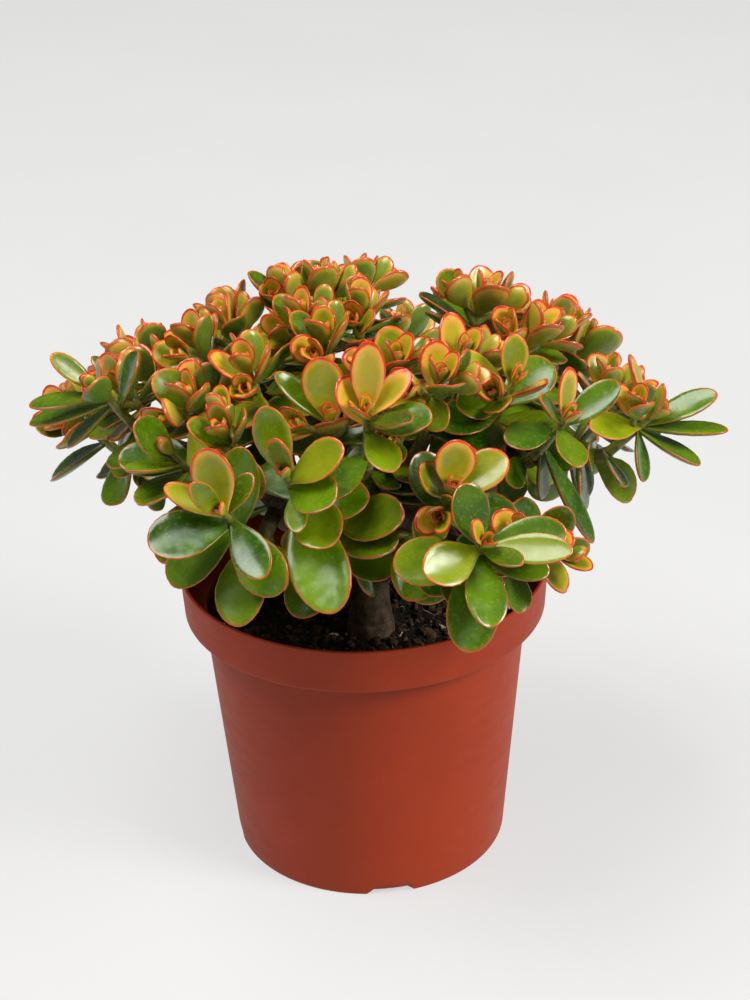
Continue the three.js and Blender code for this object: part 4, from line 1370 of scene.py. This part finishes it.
def jade_leaf_finish():
    """Waxy green flesh, a yellow ring inside the margin of young leaves, then an orange and a thin red
    line that is strongest round the tip, a paler underside, and a broad waxy shine."""
    r = Recipe("jade_leaf")
    edge, youth, tone = r.own("edge"), r.own("youth"), r.own("tone")
    under, share, stem = r.own("under"), r.own("share"), r.own("stem")
    patches = r.cloud(48.0, detail=2.0)
    streaks = r.cloud(130.0, detail=2.0)
    shade = r.times_plus(patches, 0.7, r.times(tone, 0.45))
    depth = r.between(shade, 0.25, 0.85)
    old = r.blend(depth, paint(34, 72, 0), paint(96, 128, 2))
    young = r.blend(depth, paint(112, 130, 4), paint(178, 158, 26))
    ripe = r.between(r.plus(youth, r.between(tone, 0, 1, -0.28, 0.28, False)), 0.1, 0.9)
    flesh = r.blend(ripe, old, young)
    mottle = r.cloud(520.0, detail=3.0)
    flesh = r.blend(r.between(mottle, 0.52, 0.72, 0.0, 0.26), flesh, paint(150, 166, 58))
    glow = r.blend(r.between(tone, 0.15, 0.85), paint(228, 178, 44), paint(246, 166, 84))
    reach = r.between(r.times_plus(streaks, 0.3, ripe), 0.1, 1.25, 0.97, 0.3)
    yellow = r.times(r.between(edge, reach, 0.98), r.between(ripe, 0.0, 1.0, 0.08, 0.85))
    flesh = r.blend(yellow, flesh, glow)
    wander = r.times_plus(streaks, 0.12, r.plus(edge, -0.06))
    tipward = r.between(share, 0.15, 0.75)
    start = r.between(r.times(ripe, tipward), 0.0, 1.0, 0.88, 0.76)
    orange = r.between(wander, start, r.plus(start, 0.16))
    orange = r.times(orange, r.between(tipward, 0.0, 1.0, 0.45, 0.95))
    flesh = r.blend(orange, flesh, r.blend(ripe, paint(176, 76, 22), paint(238, 120, 42)))
    line = r.between(wander, r.plus(start, 0.07), r.plus(start, 0.15))
    line = r.times(line, r.between(r.times_plus(ripe, 0.4, share), 0.3, 0.95, 0.08, 1.0))
    line = r.times(line, r.between(r.times_plus(ripe, 0.35, patches), 0.4, 0.75, 0.2, 1.0))
    flesh = r.blend(line, flesh, r.blend(tone, paint(206, 44, 18), paint(178, 52, 22)))
    blush = r.times(r.between(patches, 0.5, 0.75), r.times(ripe, 0.15))
    flesh = r.blend(blush, flesh, paint(206, 96, 46))
    flesh = r.blend(r.times(under, 0.28), flesh, paint(122, 150, 70))
    twig = r.blend(r.between(r.cloud(300.0), 0.3, 0.7), paint(122, 128, 44), paint(92, 84, 40))
    flesh = r.blend(stem, flesh, twig)
    r.join(flesh, r.shader.inputs["Base Color"])
    r.join(r.between(streaks, 0.3, 0.7, 0.24, 0.33), r.shader.inputs["Roughness"])
    r.shader.inputs["Subsurface Weight"].default_value = 0.16
    r.shader.inputs["Subsurface Radius"].default_value = (1.0, 0.9, 0.2)
    r.shader.inputs["Subsurface Scale"].default_value = 0.0015
    r.shader.inputs["Specular IOR Level"].default_value = 0.36
    r.shader.inputs["Coat Weight"].default_value = 0.32
    r.shader.inputs["Coat Roughness"].default_value = 0.16
    pores = r.bump(r.cloud(1800.0, detail=1.0), 0.05, 0.0001)
    waves = r.bump(r.cloud(90.0, detail=1.0), 0.45, 0.0018, pores)
    r.join(waves, r.shader.inputs["Normal"])
    return r.material


def bark_and_painted_shade_finish():
    """Grey-brown peeling bark with darker ring scars, greener on young wood. Its browns are darker than
    the bark's own: partly painted shade, for the canopy's shadow on the trunk.
    """
    r = Recipe("ringed_bark_and_painted_shade")
    ring, young = r.own("ring"), r.own("young_wood")
    streaks = r.cloud(170.0, detail=5.0, roughness=0.65, stretch=(1.0, 1.0, 0.45))
    specks = r.cloud(900.0, detail=3.0)
    # Painted shade: these browns are darker than the bark's own colour, so the trunk and twigs look as
    # dark as they do in the canopy's shadow.
    wood = r.blend(r.between(streaks, 0.3, 0.7), paint(48, 36, 26), paint(92, 76, 58))
    green = r.blend(r.between(streaks, 0.3, 0.7), paint(84, 82, 34), paint(124, 120, 60))
    wood = r.blend(r.between(young, 0.2, 1.0, 0.0, 0.75), wood, green)
    wood = r.blend(r.between(specks, 0.5, 0.8, 0.0, 0.5), wood, paint(132, 118, 96))
    wood = r.blend(r.times(ring, 0.55), wood, paint(58, 44, 34))
    r.join(wood, r.shader.inputs["Base Color"])
    r.join(r.between(streaks, 0.2, 0.8, 0.9, 0.68), r.shader.inputs["Roughness"])
    r.shader.inputs["Specular IOR Level"].default_value = 0.25
    coarse = r.bump(streaks, 0.5, 0.0012)
    r.join(r.bump(specks, 0.35, 0.0005, coarse), r.shader.inputs["Normal"])
    return r.material


def soil_finish(name, dark, light, pale):
    """Peaty soil: dark and light brown in lumps, each crumb with a tone of its own."""
    r = Recipe(name)
    lumps_in = r.cloud(260.0, detail=6.0, roughness=0.7)
    tone = r.own("tone")
    share = r.times_plus(tone, 0.5, r.times(lumps_in, 0.6))
    earth = r.blend(r.between(share, 0.2, 0.85), paint(*dark), paint(*light))
    earth = r.blend(r.own("pale"), earth, paint(*pale))
    r.join(earth, r.shader.inputs["Base Color"])
    r.join(r.between(lumps_in, 0.3, 0.7, 0.95, 0.82), r.shader.inputs["Roughness"])
    r.shader.inputs["Specular IOR Level"].default_value = 0.2
    r.join(r.bump(r.cloud(700.0, detail=5.0, roughness=0.7), 0.7, 0.0012), r.shader.inputs["Normal"])
    return r.material


def terracotta_plastic_finish():
    """Matte moulded plastic in brick red: faint cloudiness, fine grain and faint pale scuffs all over."""
    r = Recipe("terracotta_plastic")
    clouds = r.cloud(9.0, detail=4.0)
    grain = r.cloud(1400.0, detail=2.0)
    scuffs = r.cloud(60.0, detail=6.0, roughness=0.7, stretch=(1.0, 1.0, 3.0))
    shell = r.blend(r.between(clouds, 0.3, 0.7), paint(140, 42, 6), paint(152, 47, 8))
    shell = r.blend(r.between(grain, 0.3, 0.8, 0.0, 0.12), shell, paint(184, 78, 40))
    shell = r.blend(r.between(scuffs, 0.62, 0.8, 0.0, 0.1), shell, paint(190, 106, 76))
    r.join(shell, r.shader.inputs["Base Color"])
    r.join(r.between(scuffs, 0.3, 0.7, 0.48, 0.58), r.shader.inputs["Roughness"])
    r.shader.inputs["Specular IOR Level"].default_value = 0.22
    r.join(r.bump(grain, 0.12, 0.0003), r.shader.inputs["Normal"])
    return r.material


def paper_finish():
    """White studio paper that glows a little, so that no hard shadow falls on it."""
    r = Recipe("studio_paper")
    r.join(
        r.blend(r.between(r.cloud(3.0), 0.3, 0.7), paint(114, 114, 113), paint(118, 118, 117)),
        r.shader.inputs["Base Color"],
    )
    r.shader.inputs["Emission Color"].default_value = paint(250, 250, 250)
    r.shader.inputs["Emission Strength"].default_value = 0.62
    r.shader.inputs["Roughness"].default_value = 0.9
    r.shader.inputs["Specular IOR Level"].default_value = 0.1
    return r.material


# ------------------------------------------------------------------ putting it together


def finish_piece(piece, material, slot_name, *nodes):
    """Gives a piece its finish and its place in the frame."""
    piece.data.materials.clear()
    piece.data.materials.append(material)
    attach(piece, "root")
    if nodes:
        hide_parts(*nodes)


# What each point of a leaf tells its finish, apart from whether it is stem.
LEAF_NUMBERS = ("edge", "share", "under", "youth", "tone")


def stem_surface(tip):
    """A tip's stem: a straight rod with leaf scars that thins towards the growing point."""
    share = np.linspace(0, 1, STEM_SECTIONS)
    centres = tip.foot + (tip.heart - tip.foot) * share[:, None]
    thick = STEM_RADIUS * (SIDE_STEM if tip.share < 1 else 1.0)
    radii, _ = scarred(share * tip.stem_length, thick + (STEM_TIP_RADIUS - thick) * share, tip.number)
    ways = np.tile(tip.axis, (STEM_SECTIONS, 1))
    return plain_rod(centres, ways, radii, tip.across, ROD_SIDES)


def shoot_piece(number, leaves):
    """One shoot: the green stems of its tips, and all of its leaves."""
    stem, quads, fans, nothing = gather([stem_surface(tip) for tip in TIPS if tip.shoot == number])
    green = leaf_surfaces(leaves)
    start = len(stem)
    quads = np.concatenate([quads, green["quads"] + start])
    fans = np.concatenate([fans, green["fans"] + start])
    points = np.concatenate([stem, green["points"]])
    piece = put_mesh("leafy_shoot_%02d" % (number + 1), points, [quads, fans])
    for name in LEAF_NUMBERS:
        put_attribute(piece, name, np.concatenate([nothing, green[name]]))
    put_attribute(piece, "stem", np.concatenate([nothing + 1, np.zeros(len(green["points"]))]))
    return piece


def twig_leaves_piece(name, leaves):
    """The old leaves low on one spray's twigs."""
    green = leaf_surfaces(leaves)
    piece = put_mesh(name, green["points"], [green["quads"], green["fans"]])
    for key in LEAF_NUMBERS:
        put_attribute(piece, key, green[key])
    put_attribute(piece, "stem", np.zeros(len(green["points"])))
    return piece


def spray_piece(name, seed):
    """A spray: its knob and its twigs as scarred rods, younger towards the shoots."""
    surfaces = []
    ages = []
    for i, limb in enumerate([limb for limb in WOOD if limb.owner == name]):
        surface = limb_surface(limb, seed + i)
        surfaces.append(surface)
        rows = (len(surface[0]) - 2) // ROD_SIDES
        reach = np.repeat(np.linspace(0, 1, rows), ROD_SIDES)
        ages.append(np.concatenate([reach, [0.0, 1.0]]) * (limb.radii[1] < KNOB_SHARE * BRANCH_RADIUS))
    points, quads, fans, rings = gather(surfaces)
    piece = put_mesh(name.replace("stems_", "twigs_"), points, [quads, fans])
    put_attribute(piece, "ring", rings)
    put_attribute(piece, "young_wood", np.concatenate(ages))
    return piece


foliage = grow_leaves()
add_buds(foliage)
add_twig_leaves(foliage)

leaf_finish = jade_leaf_finish()
bark = bark_and_painted_shade_finish()
for shoot in SHOOTS:
    own_leaves = [leaf for leaf in foliage.leaves if leaf.shoot == shoot.number]
    piece = shoot_piece(shoot.number, own_leaves)
    finish_piece(piece, leaf_finish, "leaf", "shoot_%02d" % (shoot.number + 1))
for seed, name in enumerate(KNUCKLES):
    finish_piece(spray_piece("stems_" + name, 30 * seed), bark, "bark", "stems_" + name)
    low_leaves = [leaf for leaf in foliage.leaves if leaf.shoot == "stems_" + name]
    if low_leaves:
        finish_piece(twig_leaves_piece("twig_leaves_" + name, low_leaves), leaf_finish, "leaf")
finish_piece(trunk_piece(), bark, "bark", "trunk")
finish_piece(pot_piece(), terracotta_plastic_finish(), "pot", "pot")

peat = soil_finish("dark_peat", (12, 9, 6), (44, 32, 20), (150, 142, 130))
crumb_peat = soil_finish("peat_crumbs", (18, 12, 8), (82, 60, 38), (176, 166, 150))
finish_piece(soil_piece(), peat, "soil", "soil")
finish_piece(crumbs_piece("soil_crumbs", 2600, 0.5, 2.6, 0.8, 5, 0.012), crumb_peat, "soil")
finish_piece(crumbs_piece("bark_chips", 150, 1.6, 4.6, 0.35, 9, 0.05), crumb_peat, "soil")
finish_piece(fibres_piece(), crumb_peat, "soil")

# ------------------------------------------------------------------ floor, light and camera

FLOOR_REACH = 4000.0

floor_points = FLOOR_REACH * np.array([[-1, -1, 0], [1, -1, 0], [1, 1, 0], [-1, 1, 0]])
floor = put_mesh("studio_floor", floor_points, [np.array([[0, 1, 2, 3]])], smooth=False)
floor.data.materials.append(paper_finish())


def softbox(name, place, aim, size, watts, tint=(1.0, 1.0, 1.0)):
    """A square area light at a place, in metres, turned to a point."""
    light = bpy.data.lights.new(name, "AREA")
    light.shape = "SQUARE"
    light.size = size
    light.energy = watts
    light.color = tint
    lamp = put_object(name, light)
    back = unit(np.array(place) - np.array(aim))
    right = unit(np.cross([0.0, 0.0, 1.0] if abs(back[2]) < 0.99 else [0.0, 1.0, 0.0], back))
    up = np.cross(back, right)
    lamp.matrix_world = standing(right, up, back, place)


softbox("key_softbox", (3.2, -1.6, 2.8), (0, 0, 0.2), 1.6, 215.0, (1.0, 0.975, 0.94))
softbox("top_softbox", (-1.1, -0.5, 3.4), (0, 0.0, 0.0), 2.1, 142.0, (1.0, 0.99, 0.97))
softbox("front_softbox", (-1.6, -3.4, 2.6), (0, -0.3, 0.0), 2.2, 7.0)

world = bpy.data.worlds.new("studio")
world.use_nodes = True
world.node_tree.nodes["Background"].inputs["Color"].default_value = (0.95, 0.97, 1.0, 1.0)
world.node_tree.nodes["Background"].inputs["Strength"].default_value = 0.1
bpy.context.scene.world = world
bpy.context.scene.view_settings.view_transform = "Standard"

# The camera's place in metres, its angles in radians and its lens in millimetres.
CAMERA_PLACE = (0.0, -1.0, 0.7147)
CAMERA_PITCH = 0.4644
CAMERA_YAW = 0.0073
CAMERA_ROLL = -0.0272
CAMERA_LENS = 71.5

ahead = np.array([
    math.sin(CAMERA_YAW) * math.cos(CAMERA_PITCH),
    math.cos(CAMERA_YAW) * math.cos(CAMERA_PITCH),
    -math.sin(CAMERA_PITCH),
])
level = np.array([math.cos(CAMERA_YAW), -math.sin(CAMERA_YAW), 0.0])
above = np.cross(level, ahead)
right = math.cos(CAMERA_ROLL) * level + math.sin(CAMERA_ROLL) * above
top = -math.sin(CAMERA_ROLL) * level + math.cos(CAMERA_ROLL) * above
lens = bpy.data.cameras.new("camera")
lens.sensor_fit = "AUTO"
lens.sensor_width = 36.0
lens.lens = CAMERA_LENS
camera = put_object("camera", lens)
camera.matrix_world = standing(right, top, -ahead, CAMERA_PLACE)
bpy.context.scene.camera = camera
